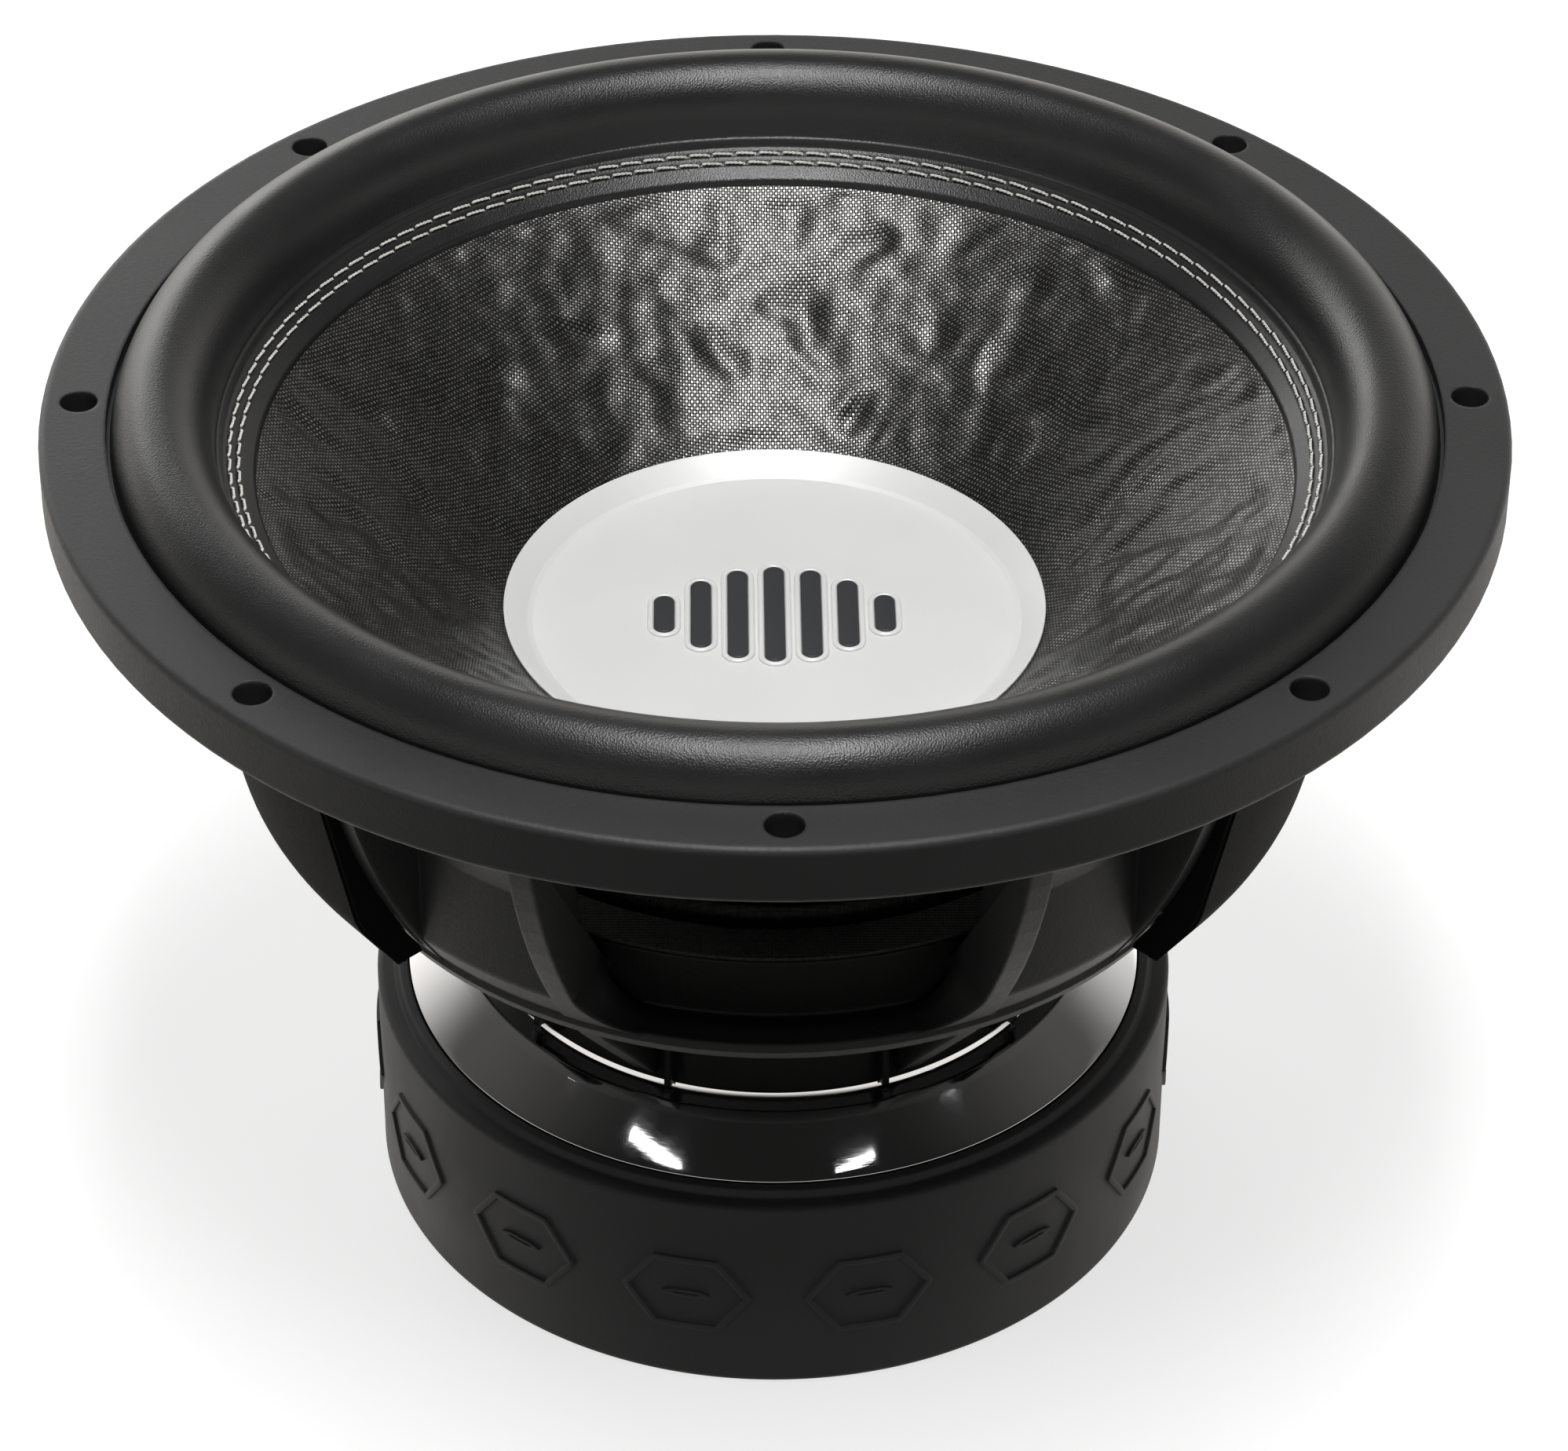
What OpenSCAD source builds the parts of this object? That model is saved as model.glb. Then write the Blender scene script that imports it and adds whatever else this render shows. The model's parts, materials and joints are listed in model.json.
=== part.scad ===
// Car subwoofer driver: cast basket, ferrite motor, stitched surround and woven cone.
// Millimetres. The origin is the centre of the magnet boot's bottom, +Z points out of the cone.
// Azimuth 0 is the front window, towards -Y, and azimuths grow towards +X.

/* [Basket] */
// Outside diameter of the mounting flange
flange_d = 318; // [314:0.5:324]
// Thickness of the flange at its rim
flange_t = 13.5; // [12:0.5:15]
// Height of the flange's front face above the magnet boot's bottom
total_h = 204.5; // [202:0.5:207]
// Diameter of the mounting hole circle
bolt_circle_d = 301.5; // [299:0.5:303]
// Number of mounting holes
bolt_count = 8; // [4:1:16]
// Diameter of each mounting hole
bolt_hole_d = 8.2; // [5:0.1:9]
// Diameter of the pilot that drops into the cut-out
pilot_d = 279; // [276:0.5:282]
// Angle between the outer faces of a spoke's two ridges
spoke_angle = 24.4; // [22:0.2:26]
// Thickness of each ridge along a spoke's edge
ridge_t = 5.5; // [4:0.5:7]

/* [Cone and suspension] */
// Radius of the cone's outer edge
cone_r = 120.5; // [119.5:0.5:121]
// Rise of the cone for each millimetre of radius
cone_slope = 0.745; // [0.73:0.005:0.76]
// Thickness of the cone, measured along Z
cone_t = 1.2; // [0.8:0.1:1.6]
// Radius of the dust cap
cap_r = 60.3; // [56:0.5:62]
// Height of the surround's crest above the flange's front face
roll_h = 9.3; // [8:0.1:11]
// Travel of the cone each way from rest
cone_travel = 15; // [10:1:15]

/* [Motor] */
// Radius of the voice coil former's bore
former_r = 38.2; // [37.8:0.1:38.3]
// Outside radius of the ferrite magnet rings
magnet_r = 89; // [87:0.5:89]
// Thickness of each of the two magnet rings
magnet_t = 16; // [15:0.5:16]
// Outside radius of the rubber boot
boot_r = 92; // [92:0.5:94]
// Number of screws that hold the basket to the top plate
plate_screw_count = 8; // [4:1:12]

/* [Terminals] */
// Travel of each push button
button_travel = 3; // [2:0.5:3]
// Diameter of the hole that takes the bare wire
wire_hole_d = 4.6; // [3:0.1:5]

/* [Hidden] */
$fn = 96;

SKIN = 0.05;            // gap between glued faces, so that they touch without overlapping
OVER = 1;               // how far a cutter runs past what it cuts

// Motor stack, from the bottom up
yoke_z = 2.5;
yoke_t = 10;
yoke_top = yoke_z + yoke_t;
yoke_r = magnet_r - 5;
plate_z = yoke_top + 2 * magnet_t;
plate_t = 20.1;
plate_top = plate_z + plate_t;
plate_r = 84.6;
plate_edge_r = 73.3;    // where the plate's flat top ends
plate_edge_drop = 1.8;
gap_r = 42.4;           // bore of the top plate
pole_r = former_r - 1;
pole_top = plate_top + 4;
vent_r = 14;
magnet_bore_r = 52;
ring_r = gap_r + 1.2;   // bore of the shorting ring
boot_top = plate_z + 7.3;
boot_wall_r = plate_r + 0.2;
boot_foot_r = 78;       // bore of the boot's bottom lip
plate_screw_circle_r = 57;
plate_screw_r = 3;
plate_screw_head_r = 4.8;
plate_screw_depth = 11;

// Flange and its seat for the surround
flange_r = flange_d / 2;
flange_z = total_h - flange_t;
pilot_r = pilot_d / 2;
pilot_z = flange_z - 8;
seat_r = 144.6;
seat_z = total_h - 3;
throat_r = 132;
throat_h = 8;           // height of the slope under the surround's seat
edge_r = 1.5;

// Bowl: one arc from the pilot down past the floor's rim
bowl_arc_r = 163;
bowl_arc_x = -32.4;
bowl_arc_z = total_h - 5.7;
bowl_arc_start = asin((bowl_arc_z - pilot_z) / bowl_arc_r);
bowl_arc_end = 39;
bowl_top_r = bowl_arc_x + bowl_arc_r * cos(bowl_arc_start);
wall_r = 107.5;         // outer face of a spoke's recessed panel
wall_t = 6.5;
wall_knee_z = total_h - 63.5;
wall_foot_z = total_h - 89;         // where the panel comes out flush with the ridges
spoke_in_top = [118, total_h - 46.5];       // the inner edge of a spoke's side walls, from top to bottom
spoke_in_low = [88, total_h - 94.5];
floor_z = total_h - 102;
floor_t = 5;
foot_r = 67;
foot_bore_r = 50;
foot_wall_r = 62;
foot_t = 8;
ledge_r = 92;
ledge_in_r = 83.5;
ledge_z = total_h - 82.5;
rib_t = 1.6;
rib_az = 20.6;          // each thin rib's angle from the middle of its window
spoke_count = 5;
spoke_pitch = 360 / spoke_count;
ridge_az = spoke_angle / 2 - asin(ridge_t / 2 / 121.6);
panel_angle = spoke_angle - 2;      // the recessed panel ends inside the ridges
spoke_top_t = 7;        // depth of a spoke where it meets the flange
window_fillet = 12;

// Side housing: a black shell that closes the window on each side and stands proud of the ridges
housing_t = 2.4;
housing_low = [109.5, total_h - 98.5];
housing_arc_r = 20;
housing_arc_x = 101.5;
housing_arc_z = total_h - 74.8;
housing_arc_start = -34;
housing_arc_end = -12.4;
housing_top_r = 134;
housing_end_t = 1.6;

// Terminal block, in its own frame: +X is outward along the spoke's azimuth
terminal_az = 1.5 * spoke_pitch;
block_w = 33;
block_z = 106;
block_h = 35;
block_face = wall_r + 10;
block_corner = 2.5;
button_y = 8;
button_z = 126;
button_r = 4.7;
button_collar_r = 5.6;
button_in = wall_r + button_travel + 0.3;
button_out = block_face + 5;
button_wall = 1.6;
wire_z = 113;
wire_depth = 8;
slot_w = 26;
slot_h = 7;
block_screw_z = [109.5, 137];
block_screw_r = 1.45;

// Suspension
roll_x = 132.7;
roll_a = 11.2;
roll_z = total_h - 4.8;
roll_b = total_h + roll_h - roll_z;
roll_t = 1.6;
lip_in_r = 113;
lip_t = 1.4;
spider_t = 0.8;
spider_amp = 2;
spider_pitch = 8;
spider_in_r = 44;
spider_out_r = spider_in_r + 4.75 * spider_pitch;
former_t = 0.6;
collar_in_r = former_r + former_t + 0.1;
collar_r = collar_in_r + 1.3;
collar_h = 9;
stitch_r = [cone_r - 1.9, cone_r - 3.8];

// Voice coil
coil_z = 41;
coil_h = 36;
layer_t = 1.3;

function front_z(r) = total_h - 54.1 + (r - 60.3) * cone_slope;
function lip_z(r) = front_z(r) + lip_t;
function bowl_r(z) = bowl_arc_x + sqrt(pow(bowl_arc_r, 2) - pow(bowl_arc_z - z, 2));

// Points of an ellipse's arc in n steps: centre (x, z), half-axes rx and rz, from angle a0 to a1.
function oval(x, z, rx, rz, a0, a1, n) = [
    for (i = [0:n]) let (a = a0 + (a1 - a0) * i / n) [x + rx * cos(a), z + rz * sin(a)]
];

function arc(x, z, r, a0, a1, n) = oval(x, z, r, r, a0, a1, n);

// Turns local +X to an azimuth.
module at_az(az) {
    rotate([0, 0, az - 90]) children();
}

// A ring with a square section.
module ring(r_in, r_out, z0, z1) {
    translate([0, 0, z0]) difference() {
        cylinder(r = r_out, h = z1 - z0);
        translate([0, 0, -OVER]) cylinder(r = r_in, h = z1 - z0 + 2 * OVER);
    }
}

// A cylinder that runs outward along local +X from x0 to x1.
module rod_x(r, x0, x1, y, z) {
    translate([x0, y, z]) rotate([0, 90, 0]) cylinder(r = r, h = x1 - x0);
}

// An upright plate in the local XZ plane, centred on Y = 0.
module plate_xz(points, t) {
    rotate([90, 0, 0]) linear_extrude(t, center = true) polygon(points);
}

// Repeats its children at every screw that holds the basket to the top plate.
module at_plate_screws() {
    for (i = [0:plate_screw_count - 1]) at_az((i + 0.5) * 360 / plate_screw_count)
        translate([plate_screw_circle_r, 0, 0]) children();
}

// A section turned through an angle that is centred on local +X.
module sector(points, angle) {
    rotate([0, 0, -angle / 2]) rotate_extrude(angle = angle) polygon(points);
}

// ---------------------------------------------------------------- basket

module flange_ring() {
    rotate_extrude() polygon(concat(
        [[bowl_top_r - spoke_top_t - 2, pilot_z], [pilot_r, pilot_z], [pilot_r, flange_z]],
        arc(flange_r - edge_r, flange_z + edge_r, edge_r, -90, 0, 4),
        arc(flange_r - edge_r, total_h - edge_r, edge_r, 0, 90, 4),
        [[seat_r, total_h], [seat_r, seat_z], [throat_r, seat_z], [throat_r, pilot_z + throat_h]]
    ));
}

bowl_curve = arc(bowl_arc_x, bowl_arc_z, bowl_arc_r, -bowl_arc_end, -bowl_arc_start, 12);
panel_in_r = wall_r - wall_t;

// One of a spoke's two edges: it follows the bowl and goes on under the floor as a gusset to the foot.
module ridge() {
    plate_xz(concat(
        [[foot_wall_r + 3, floor_z + 2], [foot_wall_r + 3, plate_top + 3], [foot_r + 2, plate_top + 3]],
        bowl_curve,
        [[bowl_top_r, pilot_z + OVER], [bowl_top_r - spoke_top_t, pilot_z + OVER],
         spoke_in_top, spoke_in_low, [spoke_in_low[0], floor_z + 2]]
    ), ridge_t);
}

module spoke_panel() {
    sunk = 0.4;         // how far the panel's flush part stays behind the ridges
    low_z = floor_z + 1;
    sector(concat(
        [[bowl_r(low_z) - wall_t, low_z]],
        [for (z = [low_z : (wall_foot_z - low_z) / 4 : wall_foot_z + 0.01]) [bowl_r(z) - sunk, z]],
        [[wall_r, wall_foot_z + 1], [wall_r, wall_knee_z], [bowl_top_r - 0.7, pilot_z + OVER],
         [bowl_top_r - spoke_top_t + 0.7, pilot_z + OVER], [panel_in_r, wall_knee_z],
         [panel_in_r, wall_foot_z]]
    ), panel_angle);
}

// Rounds the window's lower corner, where a ridge meets the floor's rim.
module window_corner(side) {
    rim_z = floor_z + floor_t;
    reach = window_fillet + 1;
    sink = window_fillet - 0.1;     // so that the fillet cuts into both faces instead of just touching them
    in_r = bowl_r(rim_z) - 9;
    intersection() {
        rotate([90, 0, 90]) linear_extrude(bowl_top_r) difference() {
            translate([side > 0 ? ridge_t / 2 - 1 : -ridge_t / 2 + 1 - reach, rim_z - 1]) square(reach);
            translate([side * (ridge_t / 2 + sink), rim_z + sink]) circle(r = window_fillet);
        }
        rotate_extrude() polygon(concat(
            [[in_r, rim_z - 2]],
            [for (z = [rim_z - 2 : 3 : rim_z + reach]) [bowl_r(z), z]],
            [[in_r, rim_z + reach]]
        ));
    }
}

module bowl_floor() {
    rim_z = floor_z + floor_t;
    rotate_extrude() polygon([
        [foot_wall_r, floor_z], [bowl_r(rim_z) - 4, floor_z], [bowl_r(rim_z) - 1.2, floor_z + 1],
        [bowl_r(rim_z), rim_z - 1.5], [bowl_r(rim_z) - 1, rim_z], [foot_wall_r, rim_z]
    ]);
    ring(ledge_in_r, ledge_r, floor_z + 1, ledge_z);
}

module foot() {
    ring(foot_bore_r, foot_r, plate_top, plate_top + foot_t);
    ring(foot_wall_r, foot_r, plate_top, floor_z + 1);
    for (i = [0:spoke_count - 1], side = [-1, 1])
        at_az(i * spoke_pitch + side * rib_az)
            translate([foot_r - 1, -rib_t / 2, plate_top]) cube([3, rib_t, floor_z + 1 - plate_top]);
}

// The housing's outer outline, from its foot over a rounded knee to the pilot.
function housing_outline(inset) = concat(
    [[housing_low[0] - inset, housing_low[1]]],
    arc(housing_arc_x, housing_arc_z, housing_arc_r - inset, housing_arc_start, housing_arc_end, 4),
    [[housing_top_r - inset, pilot_z - SKIN]]
);

function reversed(list) = [for (i = [len(list) - 1 : -1 : 0]) list[i]];

// One of the housing's two ends: a thin wall outside the window's lower corner and beside the ridge above it.
module housing_end() {
    inset = 0.7;        // keeps the wall's edge inside the shell
    clear = 0.4;
    rim_z = floor_z + floor_t;
    corner_z = rim_z + window_fillet + 1;
    top_z = pilot_z - inset;
    plate_xz(concat(
        [[bowl_r(rim_z) + clear, housing_low[1] + inset]],
        [for (p = housing_outline(inset)) [p[0], min(max(p[1], housing_low[1] + inset), top_z)]],
        [[bowl_top_r - spoke_top_t, top_z], [bowl_r(corner_z) - spoke_top_t, corner_z + 1]],
        [for (z = [corner_z : -3 : rim_z - 0.1]) [bowl_r(z) + clear, z]]
    ), housing_end_t);
}

module side_panel(side) {
    ridge_turn = spoke_pitch / 2 - ridge_az;
    end_y = ridge_t / 2 + SKIN + housing_end_t / 2;
    half_angle = ridge_turn - asin(end_y / 118);
    color("#151516") at_az(side * spoke_pitch) {
        sector(concat(housing_outline(0), reversed(housing_outline(housing_t))), 2 * half_angle);
        for (end = [-1, 1]) rotate([0, 0, end * ridge_turn]) translate([0, -end * end_y, 0]) housing_end();
    }
}

module side_panel_left() { side_panel(-1); }

module side_panel_right() { side_panel(1); }

module basket() {
    color("#3c3c3e") difference() {
        union() {
            flange_ring();
            bowl_floor();
            foot();
            for (i = [0:spoke_count - 1]) at_az((i + 0.5) * spoke_pitch) {
                spoke_panel();
                for (side = [-1, 1]) rotate([0, 0, side * ridge_az]) {
                    ridge();
                    window_corner(side);
                }
            }
        }
        for (i = [0:bolt_count - 1]) at_az(i * 360 / bolt_count)
            translate([bolt_circle_d / 2, 0, flange_z - OVER])
                cylinder(d = bolt_hole_d, h = flange_t + 2 * OVER);
        at_plate_screws()
            translate([0, 0, plate_top - OVER]) cylinder(r = plate_screw_r + 0.3, h = foot_t + 2 * OVER);
        for (side = [-1, 1]) at_az(side * terminal_az) {
            translate([ledge_r + OVER, -slot_w / 2, wire_z - slot_h / 2])
                cube([wall_r - ledge_r, slot_w, slot_h]);
            rod_x(block_screw_r + SKIN, panel_in_r - 3, wall_r + OVER, 0, block_screw_z[1]);
        }
    }
}

// ---------------------------------------------------------------- cone and suspension

// The cone, with a short collar that is glued to the coil former.
module cone() {
    collar_z = front_z(collar_r) - collar_h;
    color("#232325") rotate_extrude() polygon([
        [collar_in_r, front_z(collar_in_r)], [collar_in_r, collar_z], [collar_r, collar_z],
        [collar_r, front_z(collar_r) - cone_t - 1], [cone_r, front_z(cone_r) - cone_t],
        [cone_r, front_z(cone_r)]
    ]);
}

// A tall half-elliptical roll, glued down inside the flange's seat and stitched to the cone by a flat lip.
module surround() {
    foot_z = seat_z + SKIN;
    foot_top = foot_z + 1.5;
    foot_in_r = seat_r - 8.6;
    leg_r = roll_x - roll_a;
    outer_start = asin((foot_z - roll_z) / roll_b);
    inner_end = asin((foot_top - roll_z) / (roll_b - roll_t));
    color("#1c1c1d") rotate_extrude() polygon(concat(
        oval(roll_x, roll_z, roll_a, roll_b, outer_start, 180, 20),
        [[leg_r - 0.3, lip_z(leg_r) + 1.2], [leg_r - 1.4, lip_z(leg_r - 1.4)],
         [lip_in_r, lip_z(lip_in_r)], [lip_in_r, front_z(lip_in_r) + SKIN],
         [cone_r, front_z(cone_r) + SKIN], [leg_r + 1, front_z(leg_r + 1) + 0.8]],
        oval(roll_x, roll_z, roll_a - roll_t, roll_b - roll_t, 180, inner_end, 20),
        [[foot_in_r, foot_top], [foot_in_r, foot_z]]
    ));
}

// The thread of one row of stitches, laid on the surround's lip.
module stitch_ring(r) {
    thread_r = 0.35;
    tilt = atan(cone_slope);
    color("#e8e6df") rotate_extrude()
        translate([r - (thread_r + SKIN) * sin(tilt), lip_z(r) + (thread_r + SKIN) * cos(tilt)])
            circle(r = thread_r, $fn = 24);
}

module stitch_outer() { stitch_ring(stitch_r[0]); }

module stitch_inner() { stitch_ring(stitch_r[1]); }

// Shallow dish: a sloped rim lies on the cone, and a flat centre spans the neck.
cap_t = 0.9;
cap_flat_r = cap_r - 5.2;
cap_rim_z = front_z(cap_flat_r) + cap_t;
cap_flat_z = cap_rim_z - 0.5;

module dust_cap() {
    color("#d4d4d2") rotate_extrude() polygon([
        [0, cap_flat_z - cap_t], [cap_flat_r - 3, cap_flat_z - cap_t],
        [cap_flat_r, front_z(cap_flat_r) + SKIN], [cap_r, front_z(cap_r) + SKIN],
        [cap_r, front_z(cap_r) + cap_t], [cap_flat_r, cap_rim_z], [cap_flat_r - 1.2, cap_flat_z],
        [0, cap_flat_z]
    ]);
}

// A row of sound-level bars on the dust cap.
module cap_badge() {
    bar_w = 4.6;
    bar_pitch = 8.2;
    bars = 7;
    color("#2f3033") translate([0, 0, cap_flat_z + SKIN]) linear_extrude(0.6)
        for (i = [0:bars - 1]) {
            step = i - (bars - 1) / 2;
            straight = 3.4 + 28 * cos(step * 26);
            translate([step * bar_pitch, 0]) {
                square([bar_w, straight], center = true);
                for (end = [-1, 1]) translate([0, end * straight / 2]) circle(d = bar_w, $fn = 32);
            }
        }
}

spider_mid = ledge_z + SKIN + spider_t / 2;

// Height of the cloth's middle at radius r: waves that hang from the ledge's level.
function spider_wave(r) = spider_mid + spider_amp * (cos(360 * (r - spider_out_r) / spider_pitch) - 1);

module spider() {
    steps = 38;
    step_r = (spider_out_r - spider_in_r) / steps;
    wave = [for (i = [0:steps]) let (r = spider_in_r + i * step_r) [r, spider_wave(r)]];
    line = concat([[collar_r + 1.5, wave[0][1]]], wave, [[ledge_r - 0.5, spider_mid]]);
    n = len(line);
    half_t = spider_t / 2;
    collar_top = spider_mid + 2;
    web_t = half_t + 0.8;
    color("#1d1d1f") rotate_extrude() polygon(concat(
        [[collar_in_r, collar_top], [collar_in_r, collar_top - collar_h], [collar_r, collar_top - collar_h],
         [collar_r, line[0][1] - web_t]],
        [for (p = line) [p[0], p[1] - half_t]],
        [for (i = [1:n]) let (p = line[n - i]) [p[0], p[1] + half_t]],
        [[collar_r, line[0][1] + web_t], [collar_r, collar_top]]
    ));
}

module coil_former() {
    color("#8a8f96") ring(former_r, former_r + former_t, coil_z - 3, front_z(former_r) + 4);
}

module coil_layer(layer) {
    r = former_r + former_t + SKIN + layer * (layer_t + SKIN);
    color("#b4612c") ring(r, r + layer_t, coil_z, coil_z + coil_h);
}

module coil_inner() { coil_layer(0); }

module coil_outer() { coil_layer(1); }

// ---------------------------------------------------------------- motor

module top_plate() {
    bevel_top_r = plate_edge_r + 2.1;
    bevel_top = plate_top - plate_edge_drop;
    groove_r = plate_edge_r - 1.9;
    groove_w = 0.8;
    groove_t = 0.6;
    color("#c9cbcd") difference() {
        rotate_extrude() polygon([
            [gap_r, plate_z], [plate_r, plate_z], [plate_r, bevel_top - (plate_r - bevel_top_r)],
            [bevel_top_r, bevel_top], [plate_edge_r, plate_top],
            [groove_r + groove_w, plate_top], [groove_r + groove_w / 2, plate_top - groove_t],
            [groove_r - groove_w / 2, plate_top - groove_t], [groove_r - groove_w, plate_top],
            [gap_r, plate_top]
        ]);
        at_plate_screws()
            translate([0, 0, plate_top - plate_screw_depth - OVER])
                cylinder(r = plate_screw_r + SKIN, h = plate_screw_depth + 2 * OVER);
    }
}

module magnet(z) {
    chamfer = 1;
    color("#2b2b2d") rotate_extrude() polygon([
        [magnet_bore_r, z], [magnet_r - chamfer, z], [magnet_r, z + chamfer],
        [magnet_r, z + magnet_t - chamfer], [magnet_r - chamfer, z + magnet_t],
        [magnet_bore_r, z + magnet_t]
    ]);
}

module magnet_lower() { magnet(yoke_top); }

module magnet_upper() { magnet(yoke_top + magnet_t); }

// Back plate and vented pole, forged in one piece.
module yoke() {
    flare = 4;
    chamfer = 2;
    color("#9a9c9f") rotate_extrude() polygon([
        [vent_r + flare, yoke_z], [yoke_r, yoke_z], [yoke_r, yoke_top - chamfer],
        [yoke_r - chamfer, yoke_top], [pole_r, yoke_top], [pole_r, pole_top - chamfer],
        [pole_r - chamfer, pole_top], [vent_r + flare, pole_top], [vent_r, pole_top - flare],
        [vent_r, yoke_z + flare]
    ]);
}

module shorting_ring() {
    color("#b9bdc2") ring(ring_r, magnet_bore_r - 0.4, yoke_top, yoke_top + 13);
}

module vent_screen() {
    color("#77797c") translate([0, 0, yoke_z + 6]) cylinder(r = vent_r - SKIN, h = 1);
}

function hexagon(w, h) = [
    [-w / 2, 0], [-w / 4, -h / 2], [w / 4, -h / 2], [w / 2, 0], [w / 4, h / 2], [-w / 4, h / 2]
];

// Rubber boot round the magnets, with a raised band of plain hexagons.
module magnet_boot() {
    relief = 0.8;
    line_w = 1.7;
    motif_w = 30;
    motif_h = 21;
    motifs = 14;
    band_z = boot_top / 2;
    lip_h = 1.2;
    lip_w = 1.9;
    bottom_edge = 2;
    magnet_wall_r = magnet_r + 0.2;
    color("#333334") {
        rotate_extrude() polygon(concat(
            [[boot_foot_r, 0]],
            arc(boot_r - bottom_edge, bottom_edge, bottom_edge, -90, 0, 4),
            arc(boot_r - edge_r, boot_top - edge_r, edge_r, 0, 80, 4),
            [[boot_wall_r + lip_w + 0.5, boot_top + lip_h + 0.4], [boot_wall_r + lip_w, boot_top + lip_h],
             [boot_wall_r, boot_top + lip_h], [boot_wall_r, plate_z + SKIN],
             [magnet_wall_r, plate_z + SKIN], [magnet_wall_r, yoke_z - SKIN], [boot_foot_r, yoke_z - SKIN]]
        ));
        intersection() {
            ring(boot_r - 1, boot_r + relief, band_z - motif_h, band_z + motif_h);
            for (i = [0:motifs - 1]) at_az((i + 0.5) * 360 / motifs)
                translate([boot_r - 8, 0, band_z]) rotate([90, 0, 90]) linear_extrude(12) {
                    difference() {
                        polygon(hexagon(motif_w, motif_h));
                        polygon(hexagon(motif_w - 2.4 * line_w, motif_h - 2 * line_w));
                    }
                    square([motif_w / 3, line_w], center = true);
                }
        }
    }
}

// Socket-head screws that clamp the basket's foot to the top plate.
module plate_screws() {
    head_z = plate_top + foot_t + SKIN;
    tip_z = plate_top - plate_screw_depth;
    head_h = 6;
    socket_t = 3;
    socket_d = 5.8;
    color("#1e1f21") at_plate_screws() difference() {
        union() {
            translate([0, 0, head_z]) cylinder(r = plate_screw_head_r, h = head_h);
            translate([0, 0, tip_z]) cylinder(r = plate_screw_r, h = head_z - tip_z + 0.5);
        }
        translate([0, 0, head_z + head_h - socket_t]) cylinder(d = socket_d, h = socket_t + OVER, $fn = 6);
    }
}

// ---------------------------------------------------------------- terminals

module block_outline(inset) {
    w = block_w - 2 * inset;
    h = block_h - 2 * inset;
    square([w - 2 * block_corner, h], center = true);
    square([w, h - 2 * block_corner], center = true);
    for (y = [-1, 1], z = [-1, 1]) translate([y * (w / 2 - block_corner), z * (h / 2 - block_corner)])
        circle(r = block_corner, $fn = 32);
}

// Push terminal block: raised plus and minus marks stand above the two buttons.
module terminal(side) {
    mark = 4;
    mark_z = button_z + 8.6;
    color("#202122") at_az(side * terminal_az) difference() {
        union() {
            rotate([90, 0, 90]) translate([0, block_z + block_h / 2, wall_r + SKIN])
                linear_extrude(block_face - wall_r - SKIN) block_outline(0);
            for (y = [-1, 1]) {
                rod_x(button_r + 2.2, block_face - OVER, block_face + 0.8, y * button_y, button_z);
                rod_x(wire_hole_d / 2 + 1.4, block_face - OVER, block_face + 0.8, y * button_y, wire_z);
                translate([block_face - OVER, y * button_y - mark / 2, mark_z]) cube([OVER + 0.5, mark, 1]);
            }
            translate([block_face - OVER, -side * button_y - 0.5, mark_z + 0.5 - mark / 2])
                cube([OVER + 0.5, 1, mark]);
        }
        for (y = [-1, 1]) {
            rod_x(button_r + 0.3, wall_r, block_face + 2, y * button_y, button_z);
            rod_x(button_collar_r + 0.3, wall_r - OVER, block_face - button_wall, y * button_y, button_z);
            rod_x(wire_hole_d / 2, block_face - wire_depth + 0.8, block_face + 2, y * button_y, wire_z);
            translate([wall_r - OVER, y * button_y - 3, wire_z - 1]) cube([3 + OVER, 6, 2]);
        }
        for (z = block_screw_z) {
            rod_x(1.7, wall_r - OVER, block_face + 2, 0, z);
            rod_x(3, block_face - 1.2, block_face + 2, 0, z);
        }
    }
}

module terminal_left() { terminal(-1); }

module terminal_right() { terminal(1); }

// A hollow push button, whose collar stops it behind the block's face.
// The red one has pole 1 and the black one -1.
module button(side, pole, tint) {
    y = -side * pole * button_y;
    collar_out = block_face - button_wall - 0.15;
    color(tint) at_az(side * terminal_az) difference() {
        union() {
            rod_x(button_r, button_in, button_out - 0.8, y, button_z);
            rod_x(button_r - 0.8, button_in, button_out, y, button_z);
            rod_x(button_collar_r, collar_out - 1, collar_out, y, button_z);
        }
        rod_x(3.3, button_in - OVER, block_face + 1.5, y, button_z);
    }
}

module button_left_red() { button(-1, 1, "#b3202a"); }

module button_left_black() { button(-1, -1, "#1b1c1e"); }

module button_right_red() { button(1, 1, "#b3202a"); }

module button_right_black() { button(1, -1, "#1b1c1e"); }

module spring(side, pole) {
    y = -side * pole * button_y;
    color("#c2c4c6") at_az(side * terminal_az) difference() {
        rod_x(2.9, wall_r + 0.1, block_face + 1.4, y, button_z);
        rod_x(2.3, wall_r - OVER, block_face + 2, y, button_z);
    }
}

module spring_left_red() { spring(-1, 1); }

module spring_left_black() { spring(-1, -1); }

module spring_right_red() { spring(1, 1); }

module spring_right_black() { spring(1, -1); }

contact_in = 94.5;

// Two blades that carry the clamped wires through the panel to the solder ends.
module contacts(side) {
    color("#c9a94e") at_az(side * terminal_az) for (y = [-1, 1]) difference() {
        translate([contact_in, y * button_y - 2.6, wire_z - 0.5]) cube([wall_r + 1.8 - contact_in, 5.2, 1]);
        translate([contact_in + 3, y * button_y, wire_z - OVER]) cylinder(r = 1, h = 2 * OVER, $fn = 32);
    }
}

module contacts_left() { contacts(-1); }

module contacts_right() { contacts(1); }

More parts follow.
